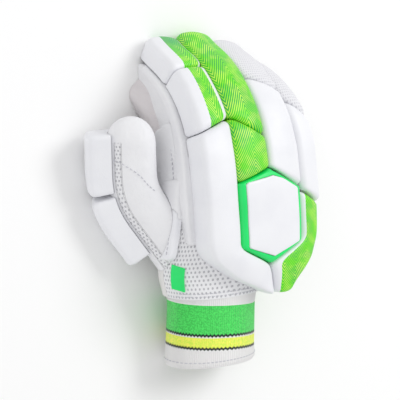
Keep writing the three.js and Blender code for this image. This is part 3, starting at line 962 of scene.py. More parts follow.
class Workbench:
    """Makes meshes from rings, cuts them and puts the finished pieces on the frame."""

    def __init__(self) -> None:
        """Starts with no cutters."""
        self.cutters: list[bpy.types.Object] = []

    def new_object(self, name: str, points: Sequence[Array], faces: Sequence) -> bpy.types.Object:
        """An object in the scene with a mesh through points in millimetres.

        Args:
            name: The object's name.
            points: Its points in millimetres.
            faces: Point numbers of each face.

        Returns:
            The object.
        """
        mesh = bpy.data.meshes.new(name)
        mesh.from_pydata([tuple(point * METRE) for point in points], [], faces)
        piece = bpy.data.objects.new(name, mesh)
        bpy.context.scene.collection.objects.link(piece)
        return piece

    def mesh_object(self, name: str, rings: Rings) -> bpy.types.Object:
        """A closed form through rings, with its pattern and share places as two UV maps.

        Args:
            name: The object's name.
            rings: The rings with their pattern places.

        Returns:
            The object.
        """
        count, sides = rings.points.shape[:2]
        places = rings.points.reshape(-1, 3)
        hubs = np.stack([rings.points[0].mean(0), rings.points[-1].mean(0)])
        faces = []
        corners = []
        for row in range(count - 1):
            for i in range(sides):
                j = (i + 1) % sides
                here, ahead = row * sides, (row + 1) * sides
                faces.append((here + i, here + j, ahead + j, ahead + i))
                corners.append(((row, i), (row, i + 1), (row + 1, i + 1), (row + 1, i)))
        low, high = len(places), len(places) + 1
        last = (count - 1) * sides
        for i in range(sides):
            j = (i + 1) % sides
            faces.append((low, j, i))
            corners.append(((0, i), (0, i + 1), (0, i)))
            faces.append((high, last + i, last + j))
            corners.append(((count - 1, i), (count - 1, i), (count - 1, i + 1)))
        piece = self.new_object(name, np.concatenate([places, hubs]), faces)
        flat = [corner for face in corners for corner in face]
        for layer, values in (("pattern", rings.pattern), ("share", rings.share)):
            closed = values.shape[1] > sides
            wrapped = values if closed else np.concatenate([values, values[:, :1]], 1)
            coords = np.array([wrapped[row, i] for row, i in flat])
            scale = 1.0 if layer == "share" else 1 / PATTERN_UNIT
            uv = piece.data.uv_layers.new(name=layer)
            uv.data.foreach_set("uv", (coords * scale).astype(np.float32).ravel())
        self.turn_outwards(piece)
        return piece

    def turn_outwards(self, piece: bpy.types.Object) -> None:
        """Turns the faces of a closed form to point out.

        Args:
            piece: The closed form.
        """
        made = bmesh.new()
        made.from_mesh(piece.data)
        bmesh.ops.recalc_face_normals(made, faces=made.faces)
        if made.calc_volume(signed=True) < 0:
            bmesh.ops.reverse_faces(made, faces=made.faces)
        made.to_mesh(piece.data)
        made.free()

    def cutter(self, name: str, rings: Rings) -> bpy.types.Object:
        """A form that only cuts others."""
        form = self.mesh_object(name, rings)
        self.cutters.append(form)
        return form

    @cached_property
    def table(self) -> bpy.types.Object:
        """The block under the table's top, which presses everything flat."""
        reach = 900.0
        corner = np.array([[-1, -1], [1, -1], [1, 1], [-1, 1]]) * reach
        points = np.stack([np.column_stack([corner, np.full(4, z)]) for z in (-reach, 0.0)])
        blank = np.zeros((2, 4, 2))
        return self.cutter("table_block", Rings(points, blank, blank))

    def cut(
        self, piece: bpy.types.Object, *cutters: bpy.types.Object, keep: str = "DIFFERENCE"
    ) -> bpy.types.Object:
        """Cuts a form with others, or keeps what they share, and drops the crumbs.

        Args:
            piece: The form that is cut.
            cutters: The forms that cut it.
            keep: DIFFERENCE, or INTERSECT for what they share.

        Returns:
            The same form.
        """
        for other in cutters:
            modifier = piece.modifiers.new("cut", "BOOLEAN")
            modifier.operation = keep
            modifier.solver = "MANIFOLD"
            modifier.object = other
        evaluated = piece.evaluated_get(bpy.context.evaluated_depsgraph_get())
        made = bpy.data.meshes.new_from_object(evaluated)
        piece.modifiers.clear()
        piece.data = made
        self.drop_crumbs(piece)
        return piece

    def drop_crumbs(self, piece: bpy.types.Object) -> None:
        """Keeps the largest connected part of a mesh.

        Args:
            piece: The form whose mesh is cleaned.
        """
        made = bmesh.new()
        made.from_mesh(piece.data)
        made.verts.ensure_lookup_table()
        unseen = set(made.verts)
        largest: set[bmesh.types.BMVert] = set()
        while unseen:
            stack = [unseen.pop()]
            part = set(stack)
            while stack:
                for edge in stack.pop().link_edges:
                    for vert in edge.verts:
                        if vert in unseen:
                            unseen.discard(vert)
                            part.add(vert)
                            stack.append(vert)
            if len(part) > len(largest):
                largest = part
        bmesh.ops.delete(made, geom=[v for v in made.verts if v not in largest], context="VERTS")
        made.to_mesh(piece.data)
        made.free()

    def deliver(
        self,
        piece: bpy.types.Object,
        finish: Finish,
        node: str | None = None,
        sharp: float = 42.0,
    ) -> bpy.types.Object:
        """Dresses a finished piece and puts it on the frame.

        Args:
            piece: The finished form.
            finish: Its material and slot.
            node: The CAD node that it stands for, if any.
            sharp: The angle past which an edge stays sharp.

        Returns:
            The piece.
        """
        piece.data.materials.clear()
        piece.data.materials.append(finish.material)
        piece.data.shade_smooth()
        piece.data.set_sharp_from_angle(angle=math.radians(sharp))
        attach(piece, BODY)
        if node is not None:
            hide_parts(node)
        faces = len(piece.data.polygons)
        log.info("%s: %d faces, finish %s", piece.name, faces, finish.material.name)
        return piece

    def clear(self) -> None:
        """Removes the cutters."""
        for form in self.cutters:
            bpy.data.objects.remove(form)
        self.cutters.clear()


BENCH = Workbench()


class Slot(Enum):
    """The record's material slots."""

    WHITE = "white_leather"
    PALM = "palm_leather"
    MESH = "white_mesh"
    PRINT = "green_print"
    BOSS = "green_boss"
    TOWEL = "towelling"


@dataclass(frozen=True)
class Finish:
    """A material and the slot of the record that it belongs to."""

    material: bpy.types.Material
    slot: Slot


class Wire:
    """A socket of a shader tree that can stand in a sum."""

    def __init__(self, tree: Tree, socket: bpy.types.NodeSocket) -> None:
        """Keeps the socket and its tree."""
        self.tree = tree
        self.socket = socket

    def _with(self, operation: str, *values: Wire | float) -> Wire:
        """A Math node on the values."""
        return self.tree.node("ShaderNodeMath", {"operation": operation}, dict(enumerate(values)))

    def __add__(self, other: Wire | float) -> Wire:
        """This plus other."""
        return self._with("ADD", self, other)

    def __radd__(self, other: float) -> Wire:
        """Other plus this."""
        return self._with("ADD", other, self)

    def __sub__(self, other: Wire | float) -> Wire:
        """This minus other."""
        return self._with("SUBTRACT", self, other)

    def __rsub__(self, other: float) -> Wire:
        """Other minus this."""
        return self._with("SUBTRACT", other, self)

    def __mul__(self, other: Wire | float) -> Wire:
        """This times other."""
        return self._with("MULTIPLY", self, other)

    def __rmul__(self, other: float) -> Wire:
        """Other times this."""
        return self._with("MULTIPLY", other, self)

    def __truediv__(self, other: Wire | float) -> Wire:
        """This divided by other."""
        return self._with("DIVIDE", self, other)

    def __gt__(self, other: Wire | float) -> Wire:
        """1 where this is more than other."""
        return self._with("GREATER_THAN", self, other)

    def __lt__(self, other: Wire | float) -> Wire:
        """1 where this is less than other."""
        return self._with("LESS_THAN", self, other)

    def fract(self) -> Wire:
        """The part after the point."""
        return self._with("FRACT", self)

    def floor(self) -> Wire:
        """The whole part."""
        return self._with("FLOOR", self)

    def absolute(self) -> Wire:
        """Its size without its sign."""
        return self._with("ABSOLUTE", self)

    def sine(self) -> Wire:
        """Its sine."""
        return self._with("SINE", self)

    def ramp(self, low: float, high: float) -> Wire:
        """Eases from 0 at low to 1 at high, or down where low is the larger.

        Args:
            low: Where it is 0.
            high: Where it is 1.

        Returns:
            The eased number.
        """
        falling = low > high
        ends = {1: min(low, high), 2: max(low, high), 3: float(falling), 4: float(not falling)}
        return self.tree.node(
            "ShaderNodeMapRange", {"interpolation_type": "SMOOTHSTEP"}, {0: self, **ends}
        )


Value = Wire | float | Colour


class Tree:
    """The node tree of one material."""

    def __init__(self, name: str) -> None:
        """Makes an empty material."""
        self.material = bpy.data.materials.new(name)
        self.material.use_nodes = True
        self.nodes = self.material.node_tree.nodes
        self.links = self.material.node_tree.links
        self.nodes.clear()

    def node(self, kind: str, settings: dict, sockets: dict, out: int | str = 0) -> Wire:
        """Adds a node.

        Args:
            kind: The node's type.
            settings: Its settings, which are set first.
            sockets: Values or wires for its input sockets, by index or name.
            out: The output that is wanted.

        Returns:
            That output.
        """
        made = self.nodes.new(kind)
        for name, value in settings.items():
            setattr(made, name, value)
        for name, value in sockets.items():
            socket = made.inputs[name]
            if isinstance(value, Wire):
                self.links.new(value.socket, socket)
            elif isinstance(value, tuple) and socket.type == "RGBA":
                socket.default_value = (*value, 1.0)
            else:
                socket.default_value = value
        return Wire(self, made.outputs[out])

    def mix(self, factor: Value, a: Value, b: Value) -> Wire:
        """A colour between a and b."""
        return self.node("ShaderNodeMix", {"data_type": "RGBA"}, {0: factor, 6: a, 7: b}, 2)

    def uv(self, name: str) -> tuple[Wire, Wire]:
        """The two numbers of a UV map.

        Args:
            name: The map's name.

        Returns:
            The number across and the number along.
        """
        place = self.node("ShaderNodeUVMap", {"uv_map": name}, {})
        split = {"Vector": place}
        return (
            self.node("ShaderNodeSeparateXYZ", {}, split, 0),
            self.node("ShaderNodeSeparateXYZ", {}, split, 1),
        )

    def pattern(self) -> tuple[Wire, Wire]:
        """The place on the cut pattern in millimetres, across and along."""
        across, along = self.uv("pattern")
        return across * PATTERN_UNIT, along * PATTERN_UNIT

    def object_place(self) -> Wire:
        """The place in the object, in metres."""
        return self.node("ShaderNodeTexCoord", {}, {}, "Object")

    def noise(self, size: float, detail: float = 2.0) -> Wire:
        """Noise with lumps of that size in millimetres."""
        sockets = {"Vector": self.object_place(), "Scale": 1 / (size * METRE), "Detail": detail}
        return self.node("ShaderNodeTexNoise", {}, sockets)

    def cells(self, size: float) -> Wire:
        """The distance from the middles of cells of that size in millimetres."""
        sockets = {"Vector": self.object_place(), "Scale": 1 / (size * METRE)}
        return self.node("ShaderNodeTexVoronoi", {}, sockets, "Distance")

    def bump(self, height: Wire, depth: float) -> Wire:
        """A bump of that depth in millimetres."""
        return self.node("ShaderNodeBump", {}, {"Height": height, "Distance": depth * METRE})

    def surface(
        self,
        colour: Value,
        roughness: Value,
        normal: Wire | None,
        sheen: float = 0.0,
        specular: float = 0.5,
    ) -> bpy.types.Material:
        """Closes the tree with a Principled shader.

        Args:
            colour: The base colour.
            roughness: The roughness.
            normal: The bumped normal.
            sheen: The weight of the sheen.
            specular: The specular level.

        Returns:
            The finished material.
        """
        sockets = {
            "Base Color": colour,
            "Roughness": roughness,
            "Sheen Weight": sheen,
            "Sheen Roughness": 0.4,
            "Specular IOR Level": specular,
        }
        if normal is not None:
            sockets["Normal"] = normal
        shader = self.node("ShaderNodeBsdfPrincipled", {}, sockets)
        output = self.nodes.new("ShaderNodeOutputMaterial")
        self.links.new(shader.socket, output.inputs["Surface"])
        return self.material


@dataclass(frozen=True)
class Leather:
    """Smooth or grained leather."""

    name: str
    colour: Colour
    shade: Colour
    roughness: float
    grain: float = 0.9
    depth: float = 0.12
    wrinkle: float = 0.25

    def grain_height(self, tree: Tree) -> Wire:
        """Fine pebbles with soft wrinkles under them."""
        pebble = tree.cells(self.grain)
        wrinkle = tree.noise(9.0, 3.0)
        return pebble * 0.35 + wrinkle * self.wrinkle * 4.0

    def tinted(self, tree: Tree) -> Wire:
        """The colour with soft patches of shade."""
        return tree.mix(tree.noise(24.0, 3.0).ramp(0.35, 0.75) * 0.5, self.colour, self.shade)

    def material(self) -> bpy.types.Material:
        """The finish as a material."""
        tree = Tree(self.name)
        colour = self.tinted(tree)
        roughness = self.roughness + (tree.noise(3.0) - 0.5) * 0.16
        return tree.surface(colour, roughness, tree.bump(self.grain_height(tree), self.depth))


@dataclass(frozen=True)
class Herringbone:
    """Leather printed with a herringbone in two greens, all over or in a strip."""

    name: str
    leather: Leather
    bright: Colour = (0.03, 0.58, 0.01)
    lime: Colour = (0.25, 0.84, 0.015)
    deep: Colour = (0.0, 0.42, 0.06)
    straw: Colour = (0.55, 0.95, 0.09)
    shadow: Colour = (0.06, 0.4, 0.16)
    column: float = 15.5
    centre: float = 15.5
    period: float = 2.5
    slope: float = 1.25
    strip: tuple[float, float] | None = None
    dusk: float = 0.0

    def print_colour(self, tree: Tree) -> Wire:
        """The herringbone's colour.

        Args:
            tree: The material's tree.

        Returns:
            The colour.
        """
        across, along = tree.pattern()
        turn = ((across - (self.centre + self.column)) / (2 * self.column)).fract() - 0.5
        zigzag = turn.absolute() * (2 * self.column * self.slope)
        stripe = ((along - zigzag) / self.period).fract()
        line = stripe.ramp(0.12, 0.3) * stripe.ramp(0.8, 0.62)
        warm = tree.noise(15.0, 1.0).ramp(0.42, 0.58)
        pale = tree.noise(9.0, 1.0).ramp(0.4, 0.62)
        ground = tree.mix(warm, self.deep, self.bright)
        thread = tree.mix(pale, self.lime, self.straw)
        woven = tree.mix(line, ground, thread)
        if self.dusk:
            _, ahead = tree.uv("share")
            woven = tree.mix(ahead.ramp(0.2, 0.75) * self.dusk, woven, self.shadow)
        return woven

    def material(self) -> bpy.types.Material:
        """The finish as a material."""
        tree = Tree(self.name)
        printed = self.print_colour(tree)
        if self.strip is not None:
            share, _ = tree.uv("share")
            low, high = self.strip
            inside = (share > low) * (share < high)
            printed = tree.mix(inside, self.leather.tinted(tree), printed)
        height = self.leather.grain_height(tree)
        return tree.surface(printed, self.leather.roughness, tree.bump(height, self.leather.depth))


@dataclass(frozen=True)
class AirMesh:
    """Knitted mesh with rows of small holes, painted a darker grey for the shade inside them."""

    name: str
    colour: Colour = (0.86, 0.86, 0.88)
    # painted shade: the grey of the holes stands for the shade inside them
    shaded_hole: Colour = (0.54, 0.54, 0.57)
    across: float = 4.0
    along: float = 3.4
    depth: float = 0.5

    def material(self) -> bpy.types.Material:
        """The finish as a material."""
        tree = Tree(self.name)
        u, v = tree.pattern()
        row = (v / self.along).floor()
        shift = (row * 0.5).fract()
        x = ((u / self.across + shift).fract() - 0.5) * 2.0
        y = ((v / self.along).fract() - 0.5) * 2.0
        radius = x * x * 2.6 + y * y * 1.7
        shaded_hole = radius.ramp(0.75, 0.3)
        rib = ((u / 0.8) * math.tau).sine() * 0.5 + 0.5
        # painted shade: the holes are coloured darker for the shade inside them
        colour = tree.mix(shaded_hole, self.colour, self.shaded_hole)
        height = (1.0 - shaded_hole) + rib * 0.12
        return tree.surface(colour, 0.85, tree.bump(height, self.depth), sheen=0.2)


@dataclass(frozen=True)
class Fabric:
    """Plain woven fabric."""

    name: str
    colour: Colour = (0.83, 0.79, 0.8)
    shade: Colour = (0.74, 0.7, 0.72)
    thread: float = 1.3

    def material(self) -> bpy.types.Material:
        """The finish as a material."""
        tree = Tree(self.name)
        u, v = tree.pattern()
        warp = (u * (math.tau / self.thread)).sine()
        weft = (v * (math.tau / self.thread)).sine()
        colour = tree.mix((warp * weft).ramp(-0.6, 0.8) * 0.5, self.colour, self.shade)
        return tree.surface(colour, 0.9, tree.bump(warp * weft * 0.5, 0.3), sheen=0.25)


@dataclass(frozen=True)
class PerforatedLeather:
    """Soft leather with a perforated strip on both sides of the thumb's crest, its holes painted a
    darker grey for the shade inside them.
    """

    name: str
    leather: Leather
    strip: tuple[float, float] = (0.138, 0.19)
    # painted shade: the grey of the holes stands for the shade inside them
    shaded_hole: Colour = (0.58, 0.58, 0.62)
    spacing: float = 2.9
    reach: float = 110.0

    def material(self) -> bpy.types.Material:
        """The finish as a material."""
        tree = Tree(self.name)
        share, _ = tree.uv("share")
        from_crest = (share - 0.25).absolute()
        low, high = self.strip
        u, v = tree.pattern()
        before_tip = v.ramp(self.reach, self.reach - 3)
        inside = (from_crest > low) * (from_crest < high) * before_tip
        row = (v / self.spacing).floor()
        x = (u / self.spacing + (row * 0.5).fract()).fract() - 0.5
        y = (v / self.spacing).fract() - 0.5
        shaded_hole = (x * x + y * y).ramp(0.075, 0.03) * inside
        low_seam = (from_crest - low).absolute().ramp(0.006, 0.002)
        high_seam = (from_crest - high).absolute().ramp(0.006, 0.002)
        seam = (low_seam + high_seam) * before_tip
        leather = self.leather
        # painted shade: the holes are coloured darker for the shade inside them
        colour = tree.mix(shaded_hole, leather.tinted(tree), self.shaded_hole)
        height = leather.grain_height(tree) - shaded_hole * 3.0 - seam * 4.0 + inside * 1.5
        bump = tree.bump(height, leather.depth * 1.6)
        return tree.surface(colour, leather.roughness + 0.05, bump)


@dataclass(frozen=True)
class Towelling:
    """Ribbed towelling with bands of colour, measured from the cuff's open end."""

    name: str
    white: Colour = (0.87, 0.86, 0.86)
    green: Colour = (0.05, 0.6, 0.09)
    yellow: Colour = (0.72, 0.95, 0.09)
    black: Colour = (0.006, 0.02, 0.015)
    green_band: tuple[float, float] = (25.0, 48.0)
    yellow_band: tuple[float, float] = (14.8, 22.0)
    black_lines: tuple[float, float] = (24.6, 14.0)
    line_width: float = 1.9
    tooth: float = 2.9
    skew: float = 0.079
    drop: float = -1.0

    def cross_place(self, tree: Tree) -> Wire:
        """The place across the cuff in millimetres, along which the bands run askew."""
        place = {"Vector": tree.object_place()}
        return tree.node("ShaderNodeSeparateXYZ", {}, place, 0) * (1 / METRE)

    def material(self) -> bpy.types.Material:
        """The finish as a material."""
        tree = Tree(self.name)
        u, v = tree.pattern()
        tooth = ((u / self.tooth).fract() - 0.5).absolute() * 2.6
        level = v + self.cross_place(tree) * self.skew + self.drop
        wavy = level + tooth
        colour = tree.mix(tree.noise(6.0), self.white, tuple(c * 0.94 for c in self.white))
        for (low, high), dye in ((self.green_band, self.green), (self.yellow_band, self.yellow)):
            pale = tuple(min(1, c * 1.35 + 0.02) for c in dye)
            speck = tree.mix(tree.noise(1.1, 1.0).ramp(0.35, 0.65), dye, pale)
            colour = tree.mix((wavy > low) * (level < high), colour, speck)
        for place in self.black_lines:
            inside = (wavy > place - self.line_width / 2) * (wavy < place + self.line_width / 2)
            colour = tree.mix(inside, colour, self.black)
        rib = ((u / 1.5) * math.tau).sine() * 0.5 + 0.5
        loop = ((v / 1.1) * math.tau).sine() * 0.5 + 0.5
        height = rib * 0.6 + rib * loop * 0.4 + tree.noise(0.9) * 0.5
        return tree.surface(colour, 0.95, tree.bump(height, 0.45), sheen=0.35)


WHITE_LEATHER = Leather("white_leather", (0.84, 0.845, 0.875), (0.77, 0.775, 0.82), 0.45)
PALM_LEATHER = Leather(
    "palm_leather", (0.8, 0.79, 0.78), (0.72, 0.71, 0.7), 0.65, grain=1.1, depth=0.2
)
GREEN_LEATHER = Leather("green_leather", (0.006, 0.8, 0.16), (0.0, 0.68, 0.12), 0.42)
SOFT_WHITE = Leather(
    "soft_white_leather", (0.83, 0.83, 0.85), (0.76, 0.76, 0.79), 0.5, wrinkle=1.3
)
THREAD = Leather("sewing_thread", (0.62, 0.62, 0.66), (0.5, 0.5, 0.55), 0.7, grain=0.4)
# its second colour is the painted shade in its holes
FINE_MESH = AirMesh(
    "fine_mesh", (0.8, 0.8, 0.83), (0.66, 0.66, 0.7), across=2.0, along=1.7, depth=0.25
)
EDGE_PATCH = Herringbone(
    "herringbone_patch", WHITE_LEATHER, strip=(0.18, 1.2), column=11.0, centre=6.0
)


@dataclass
class Finishes:
    """Every finish of the glove, made once."""

    white: Finish = field(init=False)
    soft: Finish = field(init=False)
    fabric: Finish = field(init=False)
    fine_mesh: Finish = field(init=False)
    thumb: Finish = field(init=False)
    thread: Finish = field(init=False)
    palm: Finish = field(init=False)
    green: Finish = field(init=False)
    mesh: Finish = field(init=False)
    herringbone: Finish = field(init=False)
    strip: Finish = field(init=False)
    tip_strip: Finish = field(init=False)
    edge_patch: Finish = field(init=False)
    towel: Finish = field(init=False)

    def __post_init__(self) -> None:
        """Makes the materials and pairs each with its slot."""
        strip = Herringbone(
            "herringbone_strip", WHITE_LEATHER, strip=(0.36, 0.81), column=7.0, centre=2.8
        )
        for name, look, slot in (
            ("white", WHITE_LEATHER, Slot.WHITE),
            ("soft", SOFT_WHITE, Slot.WHITE),
            ("fabric", Fabric("side_fabric"), Slot.MESH),
            ("fine_mesh", FINE_MESH, Slot.WHITE),
            ("thumb", PerforatedLeather("thumb_leather", SOFT_WHITE), Slot.WHITE),
            ("thread", THREAD, Slot.WHITE),
            ("palm", PALM_LEATHER, Slot.PALM),
            ("green", GREEN_LEATHER, Slot.BOSS),
            ("mesh", AirMesh("air_mesh"), Slot.MESH),
            ("herringbone", Herringbone("herringbone_print", WHITE_LEATHER), Slot.PRINT),
            ("strip", strip, Slot.PRINT),
            (
                "tip_strip",
                replace(strip, name="herringbone_tip", strip=(0.36, 0.88), dusk=0.75),
                Slot.PRINT,
            ),
            ("edge_patch", EDGE_PATCH, Slot.PRINT),
            ("towel", Towelling("cuff_towelling"), Slot.TOWEL),
        ):
            setattr(self, name, Finish(look.material(), slot))


@dataclass
class Glove:
    """The glove's lines, on which every piece is laid out."""

    cuff: Cuff = field(default_factory=Cuff)
    hand: Hand = field(default_factory=Hand)
    thumb: Thumb = field(default_factory=Thumb)
    cuff_limb: Limb = field(init=False)
    hand_limb: Limb = field(init=False)
    thumb_limb: Limb = field(init=False)
    fingers: dict[str, Finger] = field(init=False)

    def __post_init__(self) -> None:
        """Lays out the cuff, the hand and the digits."""
        self.cuff_limb = self.cuff.limb()
        self.hand_limb = self.hand.limb(self.cuff)
        rows = (
            ("index", -1.5, 0.94, 2.5),
            ("middle", -0.5, 0.96, 3.5),
            ("ring", 0.5, 0.87, 5.0),
            ("little", 1.5, 0.68, 9.0),
        )
        self.fingers = {row[0]: Finger(*row) for row in rows}
        for finger in self.fingers.values():
            finger.lay(self.hand, self.cuff)
        self.thumb_limb = self.settled_thumb()

    def settled_thumb(self) -> Limb:
        """The thumb where its guard rests on the table."""

        def lowest(drop: float) -> float:
            """The lowest height of the guard."""
            ground = straight_ground(self.thumb.limb(self.cuff, -drop))
            rows = GUARD.rows(*GUARD.ends, self.thumb.length)
            return pad_rings(ground, rows, GUARD.shape).points[..., 2].min()

        return self.thumb.limb(self.cuff, -settled(lowest, -20, 30))


def straight_ground(limb: Limb) -> Blanket:
    """The ground over the crest of a limb that isn't arched."""
    s = np.arange(limb.s[0], limb.s[-1], 1.0)
    return Blanket.over(s, NARROW, limb.place, limb.skin_height, 3.0)


@dataclass(frozen=True)
class Guard:
    """The split guard on the thumb's back."""

    half_width: float = 14.0
    split: float = 0.56
    opening: float = 0.01
    ends: tuple[float, float] = (0.177, 0.905)
    shape: PadShape = PadShape(foot=0.84, thickness=15.0, edge=4.0, crown=1.5, corner=2.5)

    def rows(self, start: float, end: float, length: float) -> list[PadRow]:
        """The two rows of a straight stretch, given as shares of the thumb's length."""
        return [PadRow(share * length, -self.half_width, self.half_width) for share in (start, end)]


GUARD = Guard()


def tube_form(places: Array, points: Array) -> Rings:
    """Rings of a tube with their pattern places, round its girth and along it.

    Args:
        places: Places along the limb.
        points: The points, ring by ring.

    Returns:
        The rings.
    """
    count, sides = points.shape[:2]
    girth = np.linalg.norm(points - np.roll(points, -1, 1), axis=-1).sum(1).mean()
    turn = (np.arange(sides + 1) / sides)[None]
    pattern = np.stack(np.broadcast_arrays(turn * girth, places[:, None]), -1)
    share = np.stack(np.broadcast_arrays(turn, np.linspace(0, 1, count)[:, None]), -1)
    return Rings(points, pattern, share)


@dataclass
class Body:
    """The hollow leather and mesh body: the cuff, the hand and the stalls."""

    glove: Glove
    finishes: Finishes
    root_overlap: float = 12.0
    hand_grown: bpy.types.Object = field(init=False)
    stalls_grown: dict[str, bpy.types.Object] = field(init=False)
    thumb_grown: bpy.types.Object = field(init=False)
    thumb_inside: bpy.types.Object = field(init=False)

    def __post_init__(self) -> None:
        """Makes the forms that the other pieces are cut with."""
        gap = SEWING.seam_gap
        self.hand_grown = BENCH.cutter("hand_grown", self.hand_form(gap, gap, gap))
        self.stalls_grown = {
            name: BENCH.cutter(f"{name}_grown", self.stall_form(f.limb, f.length, gap, -gap))
            for name, f in self.glove.fingers.items()
        }
        thumb, length = self.glove.thumb_limb, self.glove.thumb.length
        self.thumb_grown = BENCH.cutter("thumb_grown", self.stall_form(thumb, length, gap, 0))
        self.thumb_inside = BENCH.cutter(
            "thumb_inside", self.stall_form(thumb, length, -SEWING.leather_wall, 0)
        )

    @property
    def supports(self) -> list[bpy.types.Object]:
        """What the padding is sewn to."""
        return [self.hand_grown, *self.stalls_grown.values()]

    def hand_form(self, grown: float, before: float = 0.0, after: float = 0.0) -> Rings:
        """The hand's form, grown on every side.

        Args:
            grown: How far outside the skin.
            before: How far it reaches behind the wrist.
            after: How far it reaches past the end.

        Returns:
            The rings.
        """
        length = self.glove.hand.length
        places = np.linspace(-before, length + after, int(length / SEWING.step) + 1)
        limb = self.glove.hand_limb
        return tube_form(places, tube_rings(limb, places, 2 * SEWING.sides, grown))

    def stall_form(self, limb: Limb, length: float, grown: float, start: float) -> Rings:
        """A stall's form, grown on every side."""
        points, places = STALL_SHAPE.rings(limb, length, grown, start)
        return tube_form(places, points)

    def build_cuff(self) -> None:
        """The towelling tube with its rolled open edge."""
        limb, cuff = self.glove.cuff_limb, self.glove.cuff
        outer_s = np.linspace(0, cuff.length, 29)
        bow = cuff.rim * (1 - np.sqrt(np.clip(1 - (1 - outer_s / cuff.rim).clip(0, 1) ** 2, 0, 1)))
        angle = (np.arange(SEWING.sides) + 0.5) / SEWING.sides * math.tau
        grid_s, grid_a = np.meshgrid(outer_s, angle, indexing="ij")
        points = np.stack(
            [limb.girth_point(grid_s[i], grid_a[i], -bow[i]) for i in range(len(outer_s))]
        )
        outside = BENCH.mesh_object("sewn_cuff", tube_form(outer_s, points))
        hollow_s = np.linspace(-6, cuff.length + 6, 30)
        hollow = BENCH.cutter(
            "cuff_hollow",
            tube_form(hollow_s, tube_rings(limb, hollow_s, SEWING.sides, -SEWING.cuff_wall)),
        )
        BENCH.cut(outside, hollow, BENCH.table)
        BENCH.deliver(outside, self.finishes.towel, "cuff")

    def build_hand(self) -> None:
        """The leather palm and the mesh back, which meet along the hand's sides."""
        length, wall = self.glove.hand.length, SEWING.leather_wall
        hollow = BENCH.cutter("hand_hollow", self.hand_form(-wall, 2 * wall, -wall))
        roots = [
            BENCH.cutter(
                f"{f.name}_root", self.stall_form(f.limb, f.length, -wall, -self.root_overlap)
            )
            for f in self.glove.fingers.values()
        ]
        rows = np.linspace(-0.08 * length, 1.08 * length, 60)
        halves = {}
        for lift in (0.0, SEWING.seam_gap):
            flat = Limb(**{**vars(self.glove.hand_limb), "bow": None})
            reach = 110.0
            x = np.array([-reach, reach, reach, -reach])
            z = np.array([lift, lift, reach, reach])
            grid_s, grid_x = np.meshgrid(rows, x, indexing="ij")
            points = flat.place(grid_s, grid_x, np.broadcast_to(z, grid_x.shape))
            halves[lift] = BENCH.cutter("upper_half", tube_form(rows, points))
        for name, lift, keep, finish in (
            ("palm", 0.0, "DIFFERENCE", self.finishes.palm),
            ("back_panel", SEWING.seam_gap, "INTERSECT", self.finishes.mesh),
        ):
            shell = BENCH.mesh_object(f"sewn_{name}", self.hand_form(0))
            BENCH.cut(shell, hollow, self.thumb_inside, *roots, BENCH.table)
            BENCH.cut(shell, halves[lift], keep=keep)
            BENCH.deliver(shell, finish, name)

    def build_stalls(self) -> None:
        """The four finger stalls and the thumb stall."""
        gap, wall = SEWING.seam_gap, SEWING.leather_wall
        for name, finger in self.glove.fingers.items():
            limb, length = finger.limb, finger.length
            hollow = self.stall_form(limb, length, -wall, -wall)
            inside = BENCH.cutter(f"{name}_inside", hollow)
            skin = self.stall_form(limb, length, 0, -8 * gap)
            stall = BENCH.mesh_object(f"sewn_{name}_stall", skin)
            BENCH.cut(stall, inside, self.hand_grown, BENCH.table)
            BENCH.deliver(stall, self.finishes.palm, f"{name}_stall")
        skin = self.stall_form(self.glove.thumb_limb, self.glove.thumb.length, 0, 0)
        stall = BENCH.mesh_object("sewn_thumb_stall", skin)
        BENCH.cut(stall, self.thumb_inside, self.hand_grown, BENCH.table)
        BENCH.deliver(stall, self.finishes.thumb, "thumb_stall")


@dataclass(frozen=True)
class ColumnRow:
    """A row of a pad whose edges and skew are in columns and whose place is a share of a length."""

    left: float
    right: float
    hand: float | None = None
    finger: float | None = None
    skew: float = 0.0
    thick: float = 1.0


